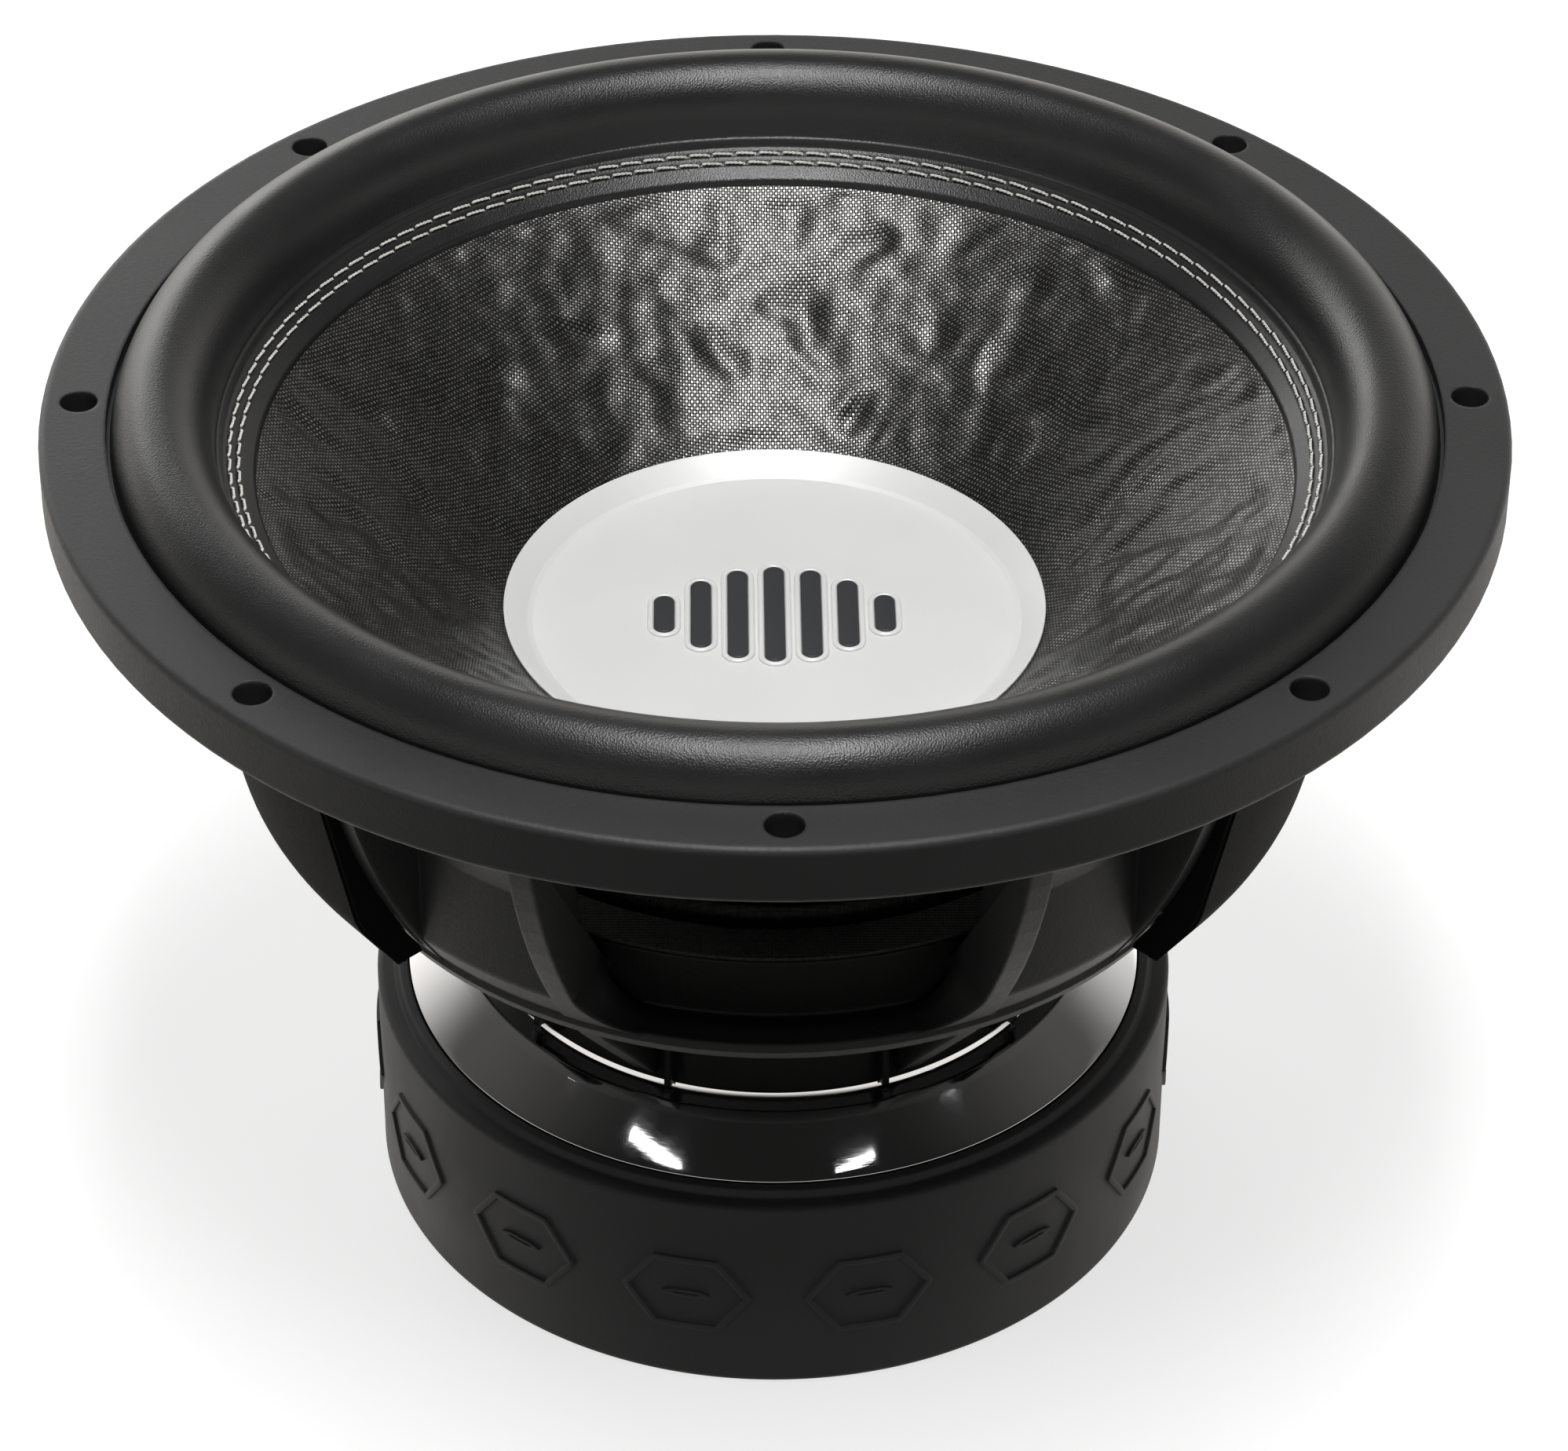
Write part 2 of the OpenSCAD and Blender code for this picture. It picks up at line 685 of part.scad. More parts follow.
module terminal_screws() {
    head = block_face - 1.15;
    slot_l = 4.2;
    slot_t = 0.8;
    color("#b7b9bb") for (side = [-1, 1]) at_az(side * terminal_az) for (z = block_screw_z) difference() {
        union() {
            rod_x(2.7, head, head + 1.8, 0, z);
            rod_x(block_screw_r, z > button_z ? panel_in_r - 2 : wall_r + 0.3, head + 0.5, 0, z);
        }
        translate([head + 2, 0, z]) {
            cube([2, slot_l, slot_t], center = true);
            cube([2, slot_t, slot_l], center = true);
        }
    }
}

// Braided leads, from each blade over the spider's ledge to the cone's neck: x outward, y across, z up.
lead_route = [
    [97, 8, 114.8], [95.9, 8, 116.2], [95.4, 8, 118.4], [95, 8, 121], [94, 8, 125], [91, 8, 128.4],
    [86, 8, 130.6], [80, 7.9, 131.4], [73, 7.7, 131], [66, 7.4, 129.8], [59, 6.9, 128.4], [53, 6.2, 127.6],
    [48, 5.4, 127.6], [44.5, 4.8, 128.2], [41.2, 4.4, 129.4]
];
lead_r = 1.1;
lead_sides = 8;

function unit(v) = v / norm(v);

// Direction of the route at point i, from the point before it to the point after it.
function lead_dir(i) =
    unit(lead_route[min(i + 1, len(lead_route) - 1)] - lead_route[max(i - 1, 0)]);

// The tube's ring of points round point i.
function lead_ring(i) =
    let (u = unit(cross(lead_dir(i), [0, 1, 0])), v = cross(lead_dir(i), u))
    [for (k = [0:lead_sides - 1]) let (a = k * 360 / lead_sides)
        lead_route[i] + lead_r * (u * cos(a) + v * sin(a))];

module lead() {
    n = len(lead_route);
    s = lead_sides;
    polyhedron(
        points = [for (i = [0:n - 1], p = lead_ring(i)) p],
        faces = concat(
            [[for (k = [0:s - 1]) s - 1 - k]],
            [for (i = [0:n - 2], k = [0:s - 1]) let (a = i * s, b = a + s, next = (k + 1) % s)
                [a + k, a + next, b + next, b + k]],
            [[for (k = [0:s - 1]) (n - 1) * s + k]]
        )
    );
}

module leads(side) {
    color("#b8ab8f") at_az(side * terminal_az) {
        lead();
        mirror([0, 1, 0]) lead();
    }
}

module leads_left() { leads(-1); }

module leads_right() { leads(1); }

basket();
side_panel_left();
side_panel_right();
surround();
spider();
cone();
stitch_outer();
stitch_inner();
dust_cap();
cap_badge();
coil_former();
coil_inner();
coil_outer();
top_plate();
magnet_upper();
magnet_lower();
yoke();
shorting_ring();
vent_screen();
magnet_boot();
plate_screws();
terminal_left();
terminal_right();
button_left_red();
button_left_black();
button_right_red();
button_right_black();
spring_left_red();
spring_left_black();
spring_right_red();
spring_right_black();
contacts_left();
contacts_right();
terminal_screws();
leads_left();
leads_right();
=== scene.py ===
"""The looks of the subwoofer driver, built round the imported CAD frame.

Lengths are in metres in the CAD's own frame: the origin is the centre of the magnet boot's bottom and +Z
points out of the cone. Azimuth 0 is the front window, towards -Y, and azimuths grow towards +X.
"""
import json
import math

import bmesh
import bpy
import numpy as np
from mathutils import Matrix, Vector, noise


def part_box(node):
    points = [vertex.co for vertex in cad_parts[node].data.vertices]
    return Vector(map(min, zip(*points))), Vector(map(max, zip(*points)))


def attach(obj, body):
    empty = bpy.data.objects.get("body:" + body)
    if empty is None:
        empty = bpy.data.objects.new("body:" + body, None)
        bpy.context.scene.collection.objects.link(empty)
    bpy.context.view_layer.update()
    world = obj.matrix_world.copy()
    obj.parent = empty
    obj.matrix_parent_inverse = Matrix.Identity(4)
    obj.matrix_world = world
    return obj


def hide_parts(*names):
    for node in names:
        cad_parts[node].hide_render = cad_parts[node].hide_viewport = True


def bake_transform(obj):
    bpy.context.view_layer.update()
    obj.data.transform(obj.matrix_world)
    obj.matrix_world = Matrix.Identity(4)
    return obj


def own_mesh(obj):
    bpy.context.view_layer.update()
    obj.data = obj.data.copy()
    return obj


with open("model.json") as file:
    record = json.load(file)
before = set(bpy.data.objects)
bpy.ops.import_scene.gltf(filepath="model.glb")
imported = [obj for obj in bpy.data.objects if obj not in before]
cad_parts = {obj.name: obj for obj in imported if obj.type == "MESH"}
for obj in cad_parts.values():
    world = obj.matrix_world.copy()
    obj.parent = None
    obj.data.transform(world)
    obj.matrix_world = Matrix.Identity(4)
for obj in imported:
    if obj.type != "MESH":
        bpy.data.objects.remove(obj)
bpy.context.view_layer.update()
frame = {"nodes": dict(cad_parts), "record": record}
NODES = frame["nodes"]
ROOT = "frame_and_motor"
CONE_BODY = "cone_assembly"
MM = 0.001
FULL_TURN = 2 * math.pi


# ---------------------------------------------------------------- places, read from the frame

def outer_radius(node):
    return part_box(node)[1].x


def low(node):
    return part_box(node)[0].z


def high(node):
    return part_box(node)[1].z


FLANGE_R = outer_radius("basket")
FLANGE_Z = high("basket")
CONE_R = outer_radius("cone")
CONE_EDGE_Z = high("cone")
CONE_SLOPE = 0.745
CONE_T = 1.2 * MM
CAP_R = outer_radius("dust_cap")
CREST_Z = high("surround")
COLLAR_IN_R = 38.9 * MM
COLLAR_R = 40.2 * MM
LIP_IN_R = 113 * MM
LIP_T = 1.4 * MM
PLATE_R = outer_radius("top_plate")
PLATE_TOP = high("top_plate")
TERMINAL_AZ = math.radians(108)


def cone_z(r):
    """Height of the cone's front face at radius r."""
    return CONE_EDGE_Z - (CONE_R - r) * CONE_SLOPE


def lip_z(r):
    """Height of the surround's lip at radius r."""
    return cone_z(r) + LIP_T


def place(azimuth, r, z):
    """The point at that azimuth, radius and height."""
    return Vector((r * math.sin(azimuth), -r * math.cos(azimuth), z))


def smooth(x, start, end):
    """0 before start, 1 after end, and an S-curve between them."""
    t = np.clip((x - start) / (end - start), 0, 1)
    return t * t * (3 - 2 * t)


# ---------------------------------------------------------------- mesh tools

def rounded(corners):
    """A closed outline of (x, z, radius) corners, with each corner turned into an arc of its radius."""
    steps = 6
    points = []
    for i, (x, z, r) in enumerate(corners):
        corner = np.array((x, z))
        before = np.array(corners[i - 1][:2]) - corner
        after = np.array(corners[(i + 1) % len(corners)][:2]) - corner
        if r == 0:
            points.append(corner)
            continue
        before = before / np.linalg.norm(before)
        after = after / np.linalg.norm(after)
        half = math.acos(np.clip(before @ after, -1, 1)) / 2
        middle = before + after
        centre = corner + middle / np.linalg.norm(middle) * r / math.sin(half)
        first = corner + before * r / math.tan(half) - centre
        last = corner + after * r / math.tan(half) - centre
        start = math.atan2(first[1], first[0])
        turn = math.remainder(math.atan2(last[1], last[0]) - start, FULL_TURN)
        for k in range(steps + 1):
            a = start + turn * k / steps
            points.append(centre + r * np.array((math.cos(a), math.sin(a))))
    return np.array(points)


def oval(x, z, rx, rz, start, end, steps):
    """Points of an ellipse's arc, from angle start to end in degrees."""
    angles = np.radians(np.linspace(start, end, steps + 1))
    return np.stack([x + rx * np.cos(angles), z + rz * np.sin(angles)], axis=1)


def lathe(profile, segments=360):
    """Vertices and faces of a closed outline of (r, z) points turned round Z, ring by ring."""
    profile = np.asarray(profile)
    n = len(profile)
    angles = np.arange(segments) * FULL_TURN / segments
    x = np.outer(np.sin(angles), profile[:, 0])
    y = np.outer(-np.cos(angles), profile[:, 0])
    z = np.outer(np.ones(segments), profile[:, 1])
    i, k = np.meshgrid(np.arange(segments), np.arange(n), indexing="ij")
    j, m = (i + 1) % segments, (k + 1) % n
    faces = np.stack([i * n + k, j * n + k, j * n + m, i * n + m], axis=-1).reshape(-1, 4)
    return np.stack([x, y, z], axis=-1).reshape(-1, 3), faces


def tube(path, radii, sides=8):
    """Vertices and faces of a closed tube along a path, with a radius at each of its points."""
    path = np.asarray(path, float)
    ahead = np.gradient(path, axis=0)
    ahead /= np.linalg.norm(ahead, axis=1)[:, None]
    across = np.cross(ahead, (0.0, 0.0, 1.0))
    weak = np.linalg.norm(across, axis=1) < 0.2
    across[weak] = np.cross(ahead[weak], (0.0, 1.0, 0.0))
    across /= np.linalg.norm(across, axis=1)[:, None]
    up = np.cross(across, ahead)
    angles = np.arange(sides) * FULL_TURN / sides
    radii = np.asarray(radii, float) * np.ones((len(path), sides))
    ring = across[:, None] * np.cos(angles)[None, :, None] + up[:, None] * np.sin(angles)[None, :, None]
    vertices = (path[:, None] + ring * radii[..., None]).reshape(-1, 3)
    i, k = np.meshgrid(np.arange(len(path) - 1), np.arange(sides), indexing="ij")
    m = (k + 1) % sides
    walls = np.stack([i * sides + k, i * sides + m, (i + 1) * sides + m, (i + 1) * sides + k], axis=-1)
    ends = [list(range(sides))[::-1], [(len(path) - 1) * sides + k for k in range(sides)]]
    return vertices, walls.reshape(-1, 4).tolist() + ends


def joined(shapes):
    """Several (vertices, faces) pairs as one."""
    vertices, faces, start = [], [], 0
    for points, polygons in shapes:
        vertices.append(np.asarray(points))
        faces += [[start + v for v in polygon] for polygon in polygons]
        start += len(points)
    return np.vstack(vertices), faces


def piece(name, shape, material, slot, body=None, replaces=(), sharp=40, weld=False):
    """Makes an object from (vertices, faces), shaded smooth but for edges sharper than that angle."""
    vertices, faces = shape
    mesh = bpy.data.meshes.new(name)
    mesh.from_pydata(np.asarray(vertices).tolist(), [], [list(map(int, f)) for f in faces])
    form = bmesh.new()
    form.from_mesh(mesh)
    if weld:
        bmesh.ops.remove_doubles(form, verts=form.verts, dist=1e-7)
    bmesh.ops.recalc_face_normals(form, faces=form.faces)
    form.to_mesh(mesh)
    form.free()
    mesh.shade_smooth()
    mesh.set_sharp_from_angle(angle=math.radians(sharp))
    mesh.materials.append(material)
    made = bpy.data.objects.new(name, mesh)
    bpy.context.scene.collection.objects.link(made)
    if replaces:
        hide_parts(*replaces)
    if body:
        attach(made, body)
    return made


def bend(made):
    """Bakes the placement of a piece between the frame and the cone into its mesh."""
    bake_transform(made)


# ---------------------------------------------------------------- material tools

class Shade:
    """Shorthand for one material's nodes. Places are the object's own coordinates, in metres."""

    def __init__(self, name):
        self.material = bpy.data.materials.new(name)
        self.material.use_nodes = True
        self.tree = self.material.node_tree
        self.shader = self.tree.nodes["Principled BSDF"]
        self.place = self.add("ShaderNodeTexCoord").outputs["Object"]

    def add(self, kind, **settings):
        node = self.tree.nodes.new(kind)
        for key, value in settings.items():
            setattr(node, key, value)
        return node

    def put(self, value, socket):
        if isinstance(value, bpy.types.NodeSocket):
            self.tree.links.new(value, socket)
        elif isinstance(value, tuple) and len(value) == 3 and len(socket.default_value) == 4:
            socket.default_value = (*value, 1)
        else:
            socket.default_value = value

    def set(self, **values):
        """Sets the shader's sockets, with underscores for the spaces in their names."""
        for name, value in values.items():
            self.put(value, self.shader.inputs[name.replace("_", " ")])
        return self

    def math(self, operation, a, b=0.0):
        node = self.add("ShaderNodeMath", operation=operation)
        for value, socket in zip((a, b), node.inputs):
            self.put(value, socket)
        return node.outputs[0]

    def noise(self, size, detail=2.0, place=None, twist=0.0):
        """Noise from 0 to 1 whose features are about that size."""
        node = self.add("ShaderNodeTexNoise")
        self.put(place or self.place, node.inputs["Vector"])
        self.put(1 / size, node.inputs["Scale"])
        self.put(detail, node.inputs["Detail"])
        self.put(twist, node.inputs["Distortion"])
        return node.outputs[0]

    def cells(self, size):
        """Distance to the nearest of a scatter of points that are about that size apart."""
        node = self.add("ShaderNodeTexVoronoi")
        self.put(self.place, node.inputs["Vector"])
        self.put(1 / size, node.inputs["Scale"])
        return node.outputs["Distance"]

    def span(self, value, low_in, high_in, low_out=0.0, high_out=1.0):
        """Maps a value from one range to another, and clamps it."""
        node = self.add("ShaderNodeMapRange")
        for entry, socket in zip((value, low_in, high_in, low_out, high_out), node.inputs):
            self.put(entry, socket)
        return node.outputs[0]

    def mix(self, factor, first, second):
        """A colour between two others."""
        node = self.add("ShaderNodeMix", data_type="RGBA")
        self.put(factor, node.inputs["Factor"])
        self.put(first, node.inputs[6])
        self.put(second, node.inputs[7])
        return node.outputs[2]

    def axes(self):
        node = self.add("ShaderNodeSeparateXYZ")
        self.put(self.place, node.inputs[0])
        return node.outputs[0], node.outputs[1], node.outputs[2]

    def point(self, x, y, z=0.0):
        node = self.add("ShaderNodeCombineXYZ")
        for value, socket in zip((x, y, z), node.inputs):
            self.put(value, socket)
        return node.outputs[0]

    def distance_from_axis(self):
        x, y, _ = self.axes()
        return self.math("SQRT", self.math("ADD", self.math("MULTIPLY", x, x), self.math("MULTIPLY", y, y)))

    def azimuth(self):
        x, y, _ = self.axes()
        return self.math("ARCTAN2", x, self.math("MULTIPLY", y, -1.0))

    def soft_edges(self, radius):
        """Normals of edges rounded off by that radius."""
        node = self.add("ShaderNodeBevel", samples=4)
        self.put(radius, node.inputs["Radius"])
        return node.outputs[0]

    def bump(self, height, depth, normal=None):
        """Turns a height from 0 to 1 into relief of that depth."""
        node = self.add("ShaderNodeBump")
        self.put(depth, node.inputs["Distance"])
        self.put(height, node.inputs["Height"])
        if normal is not None:
            self.put(normal, node.inputs["Normal"])
        return node.outputs[0]


def cast_basket():
    """Charcoal powder coat on a casting, with painted shade: inside 95 mm from the axis it fades to near
    black.
    """
    s = Shade("cast_basket")
    peel = s.noise(0.9 * MM, detail=3)
    broad = s.noise(40 * MM, detail=3)
    speck = s.cells(0.6 * MM)
    coat = s.mix(broad, (0.019, 0.019, 0.0195), (0.028, 0.028, 0.029))
    # painted shade: the coat fades to near black inside 95 to 98 mm from the axis, where the bowl's inside
    # lies in shade
    inner = s.span(s.distance_from_axis(), 95 * MM, 98 * MM)
    texture = s.math("ADD", peel, s.math("MULTIPLY", speck, 0.5))
    s.set(Base_Color=s.mix(inner, (0.003, 0.003, 0.003), coat), Metallic=0.0,
          Roughness=s.span(s.math("ADD", peel, broad), 0.6, 1.4, 0.40, 0.56), Specular_IOR_Level=0.45,
          Normal=s.bump(texture, 0.05 * MM, s.soft_edges(1.1 * MM)))
    return s.material


def surround_rubber():
    """Satin black rubber with a fine moulded grain."""
    s = Shade("surround_rubber")
    grain = s.cells(0.42 * MM)
    haze = s.noise(22 * MM, detail=4)
    s.set(Base_Color=s.mix(haze, (0.009, 0.009, 0.0093), (0.014, 0.014, 0.0143)),
          Roughness=s.span(haze, 0.3, 0.7, 0.31, 0.38), Specular_IOR_Level=0.5,
          Normal=s.bump(grain, 0.045 * MM))
    return s.material


def thread():
    """White two-ply sewing thread."""
    s = Shade("thread")
    fuzz = s.noise(0.12 * MM, detail=3)
    soil = s.noise(9 * MM)
    s.set(Base_Color=s.mix(soil, (0.62, 0.60, 0.57), (0.80, 0.79, 0.76)), Roughness=0.62,
          Sheen_Weight=0.3, Sheen_Roughness=0.4, Normal=s.bump(fuzz, 0.05 * MM))
    return s.material


def weave(s, pitch):
    """Height from 0 to 1 of a plain weave whose threads run along X and Y, and a number for each crossing."""
    x, y, _ = s.axes()
    u, v = s.math("DIVIDE", x, pitch), s.math("DIVIDE", y, pitch)
    crowns = []
    for along, over in ((u, v), (v, u)):
        hump = s.math("SINE", s.math("MULTIPLY", s.math("FRACT", along), math.pi))
        reach = s.math("SINE", s.math("MULTIPLY", s.math("FRACT", over), math.pi))
        crowns.append(s.math("MULTIPLY", s.math("POWER", hump, 0.6), s.math("POWER", reach, 0.35)))
    side = s.math("MODULO", s.math("ADD", s.math("FLOOR", u), s.math("FLOOR", v)), 2.0)
    side = s.math("GREATER_THAN", s.math("ABSOLUTE", side), 0.5)
    first = s.math("MULTIPLY", crowns[0], s.math("SUBTRACT", 1.0, side))
    height = s.math("ADD", first, s.math("MULTIPLY", crowns[1], side))
    crossing = s.add("ShaderNodeTexWhiteNoise")
    s.put(s.point(s.math("FLOOR", u), s.math("FLOOR", v)), crossing.inputs["Vector"])
    return height, crossing.outputs["Value"], side


def cone_weave():
    """Black woven glass fibre set in a glossy resin."""
    s = Shade("cone_weave")
    height, crossing, side = weave(s, 0.62 * MM)
    glint = s.math("MULTIPLY", s.span(height, 0.35, 0.95), s.span(side, 0.0, 1.0, 0.22, 1.0))
    glint = s.math("MULTIPLY", glint, s.span(crossing, 0.0, 1.0, 0.45, 1.0))
    dry = s.noise(14 * MM, detail=3)
    cloth = s.bump(height, 0.045 * MM, s.bump(s.noise(3.2 * MM, detail=2), 0.05 * MM))
    s.set(Base_Color=s.mix(glint, (0.006, 0.006, 0.0065), (0.44, 0.43, 0.415)), Metallic=0.85,
          Roughness=s.span(dry, 0.3, 0.7, 0.26, 0.38), Specular_IOR_Level=0.3, Normal=cloth)
    return s.material


def spider_cloth():
    """Black woven cotton, stiffened with resin."""
    s = Shade("spider_cloth")
    height, crossing, _ = weave(s, 0.9 * MM)
    s.set(Base_Color=s.mix(crossing, (0.016, 0.015, 0.014), (0.034, 0.032, 0.030)), Roughness=0.75,
          Sheen_Weight=0.1, Normal=s.bump(height, 0.2 * MM))
    return s.material


def cap_silver():
    """Satin silver-white paint."""
    s = Shade("cap_silver")
    flake = s.noise(0.18 * MM, detail=2)
    cloud = s.noise(30 * MM, detail=3)
    s.set(Base_Color=s.mix(cloud, (0.78, 0.78, 0.775), (0.83, 0.83, 0.825)), Metallic=0.1,
          Roughness=s.span(cloud, 0.3, 0.7, 0.34, 0.42), Normal=s.bump(flake, 0.012 * MM))
    return s.material


def badge_grey():
    s = Shade("badge_grey")
    grain = s.noise(0.3 * MM, detail=3)
    s.set(Base_Color=s.mix(grain, (0.028, 0.029, 0.032), (0.042, 0.043, 0.046)), Roughness=0.42,
          Normal=s.bump(grain, 0.02 * MM))
    return s.material


def plate_chrome():
    """Mirror chrome with the faint rings of its polishing."""
    s = Shade("plate_chrome")
    _, _, z = s.axes()
    across = s.math("SUBTRACT", s.distance_from_axis(), z)
    turned = s.noise(0.35 * MM, detail=4, place=s.point(across, 0.0, s.math("MULTIPLY", s.azimuth(), 0.004)))
    smear = s.noise(16 * MM, detail=4, twist=1.0)
    s.set(Base_Color=(0.80, 0.80, 0.815), Metallic=1.0,
          Roughness=s.span(smear, 0.35, 0.75, 0.025, 0.085), Normal=s.bump(turned, 0.0022 * MM))
    return s.material


def boot_rubber():
    """Matte charcoal rubber with a dusty bloom."""
    s = Shade("boot_rubber")
    grain = s.noise(0.5 * MM, detail=4)
    bloom = s.noise(28 * MM, detail=4)
    s.set(Base_Color=s.mix(bloom, (0.036, 0.036, 0.038), (0.050, 0.050, 0.053)),
          Roughness=s.span(bloom, 0.3, 0.7, 0.52, 0.64), Specular_IOR_Level=0.4,
          Normal=s.bump(grain, 0.06 * MM, s.soft_edges(0.35 * MM)))
    return s.material


def metal(name, colour, roughness, ring=0.0):
    """Turned or plated metal: ring is the depth of its tool marks round the axis, in millimetres."""
    s = Shade(name)
    cloud = s.noise(12 * MM, detail=4)
    darker = tuple(0.78 * c for c in colour)
    normal = s.soft_edges(0.25 * MM)
    if ring:
        marks = s.noise(0.4 * MM, detail=3, place=s.point(s.distance_from_axis(), 0.0, 0.0))
        normal = s.bump(marks, ring * MM, normal)
    s.set(Base_Color=s.mix(cloud, darker, colour), Metallic=1.0, Normal=normal,
          Roughness=s.span(cloud, 0.3, 0.7, roughness * 0.8, roughness * 1.25))
    return s.material


def ferrite():
    s = Shade("ferrite")
    pores = s.noise(0.8 * MM, detail=5)
    s.set(Base_Color=s.mix(pores, (0.030, 0.030, 0.032), (0.075, 0.075, 0.078)), Roughness=0.6,
          Normal=s.bump(pores, 0.08 * MM, s.soft_edges(0.4 * MM)))
    return s.material


def plastic(name, colour, roughness, grain_depth, gloss=0.5):
    """Moulded plastic with a spark-eroded grain."""
    s = Shade(name)
    grain = s.noise(0.25 * MM, detail=3)
    cloud = s.noise(10 * MM)
    lighter = tuple(min(1.0, 1.25 * c + 0.002) for c in colour)
    s.set(Base_Color=s.mix(cloud, colour, lighter), Specular_IOR_Level=gloss,
          Roughness=s.span(grain, 0.3, 0.7, roughness * 0.85, roughness * 1.15),
          Normal=s.bump(grain, grain_depth * MM, s.soft_edges(0.3 * MM)))
    return s.material


def braid():
    """Tinned copper braid with a little bare copper showing."""
    s = Shade("lead_braid")
    worn = s.noise(1.3 * MM, detail=3)
    s.set(Base_Color=s.mix(s.span(worn, 0.45, 0.65), (0.55, 0.52, 0.46), (0.55, 0.30, 0.17)), Metallic=1.0,
          Roughness=0.38, Normal=s.bump(s.noise(0.15 * MM), 0.04 * MM))
    return s.material


MATERIALS = {
    "cast_basket": cast_basket(),
    "surround_rubber": surround_rubber(),
    "thread": thread(),
    "cone_weave": cone_weave(),
    "spider_cloth": spider_cloth(),
    "cap_silver": cap_silver(),
    "badge_grey": badge_grey(),
    "plate_chrome": plate_chrome(),
    "boot_rubber": boot_rubber(),
    "ferrite": ferrite(),
    "former_aluminium": metal("former_aluminium", (0.46, 0.47, 0.50), 0.32),
    "copper_wire": metal("copper_wire", (0.62, 0.21, 0.09), 0.26),
    "yoke_steel": metal("yoke_steel", (0.42, 0.43, 0.44), 0.34, ring=0.02),
    "ring_aluminium": metal("ring_aluminium", (0.62, 0.63, 0.64), 0.30, ring=0.015),
    "screen_wire": metal("screen_wire", (0.30, 0.30, 0.31), 0.36),
    "black_oxide_steel": metal("black_oxide_steel", (0.045, 0.045, 0.048), 0.36),
    "spring_wire": metal("spring_wire", (0.60, 0.61, 0.62), 0.22),
    "contact_brass": metal("contact_brass", (0.72, 0.55, 0.24), 0.26),
    "screw_zinc": metal("screw_zinc", (0.58, 0.60, 0.62), 0.28),
    "terminal_plastic": plastic("terminal_plastic", (0.018, 0.018, 0.020), 0.52, 0.05),
    "housing_plastic": plastic("housing_plastic", (0.0045, 0.0045, 0.0047), 0.66, 0.12, gloss=0.05),
    "button_red": plastic("button_red", (0.42, 0.012, 0.016), 0.26, 0.008),
    "button_black": plastic("button_black", (0.012, 0.012, 0.014), 0.28, 0.008),
    "lead_braid": braid(),
}
for row in frame["record"]["subparts"]:
    surfaces = NODES[row["node"]].data.materials
    surfaces.clear()
    surfaces.append(MATERIALS[row["material_slot"]])


def dressed(name, shape, slot, **settings):
    """A piece in the material of its slot."""
    return piece(name, shape, MATERIALS[slot], slot, **settings)


# ---------------------------------------------------------------- cone and suspension

ROLL_R = 132.7 * MM
ROLL_W = 11.2 * MM
ROLL_T = 1.6 * MM
ROLL_Z = FLANGE_Z - 4.8 * MM
ROLL_H = CREST_Z - ROLL_Z
SEAT_Z = FLANGE_Z - 2.95 * MM
SEAT_R = 144.6 * MM
STITCH_ROWS = {"stitch_outer": CONE_R - 1.9 * MM, "stitch_inner": CONE_R - 3.8 * MM}


def lip_profile():
    """The lip's upper face, from the roll's foot inwards, dimpled where each row of thread pulls it down."""
    radii = np.linspace(ROLL_R - ROLL_W - 1.6 * MM, LIP_IN_R + 0.5 * MM, 42)
    heights = lip_z(radii)
    for row in STITCH_ROWS.values():
        heights -= 0.28 * MM * np.exp(-((radii - row) / (0.45 * MM)) ** 2)
    edge = [[LIP_IN_R + 0.15 * MM, lip_z(LIP_IN_R) - 0.12 * MM], [LIP_IN_R, lip_z(LIP_IN_R) - 0.5 * MM],
            [LIP_IN_R, cone_z(LIP_IN_R) + 0.05 * MM]]
    return np.vstack([np.stack([radii, heights], axis=1), edge])


def surround():
    """A smooth half-roll with its foot on the flange's seat and its lip sewn to the cone."""
    foot_top = SEAT_Z + 1.5 * MM
    leg_r = ROLL_R - ROLL_W
    start = math.degrees(math.asin((SEAT_Z - ROLL_Z) / ROLL_H))
    end = math.degrees(math.asin((foot_top - ROLL_Z) / (ROLL_H - ROLL_T)))
    outside = oval(ROLL_R, ROLL_Z, ROLL_W, ROLL_H, start, 174, 60)
    hollow = oval(leg_r - 1.0 * MM, lip_z(leg_r) + 1.7 * MM, 0.95 * MM, 1.2 * MM, -5, -95, 6)
    under = [[CONE_R, cone_z(CONE_R) + 0.05 * MM], [leg_r + 1 * MM, cone_z(leg_r + 1 * MM) + 0.8 * MM]]
    inside = oval(ROLL_R, ROLL_Z, ROLL_W - ROLL_T, ROLL_H - ROLL_T, 180, end, 40)
    foot = [[SEAT_R - 8.6 * MM, foot_top], [SEAT_R - 8.6 * MM, SEAT_Z]]
    parts = [outside, hollow, lip_profile(), np.array(under), inside, np.array(foot)]
    profile = np.vstack(parts)
    weights = np.clip((SEAT_R - 1.2 * MM - profile[:, 0]) / (SEAT_R - 1.2 * MM - leg_r), 0, 1)
    weights[-2:] = 0
    segments = 480
    made = dressed("surround_roll", lathe(profile, segments), "surround_rubber",
                   replaces=["surround"], sharp=50)
    bend(made)


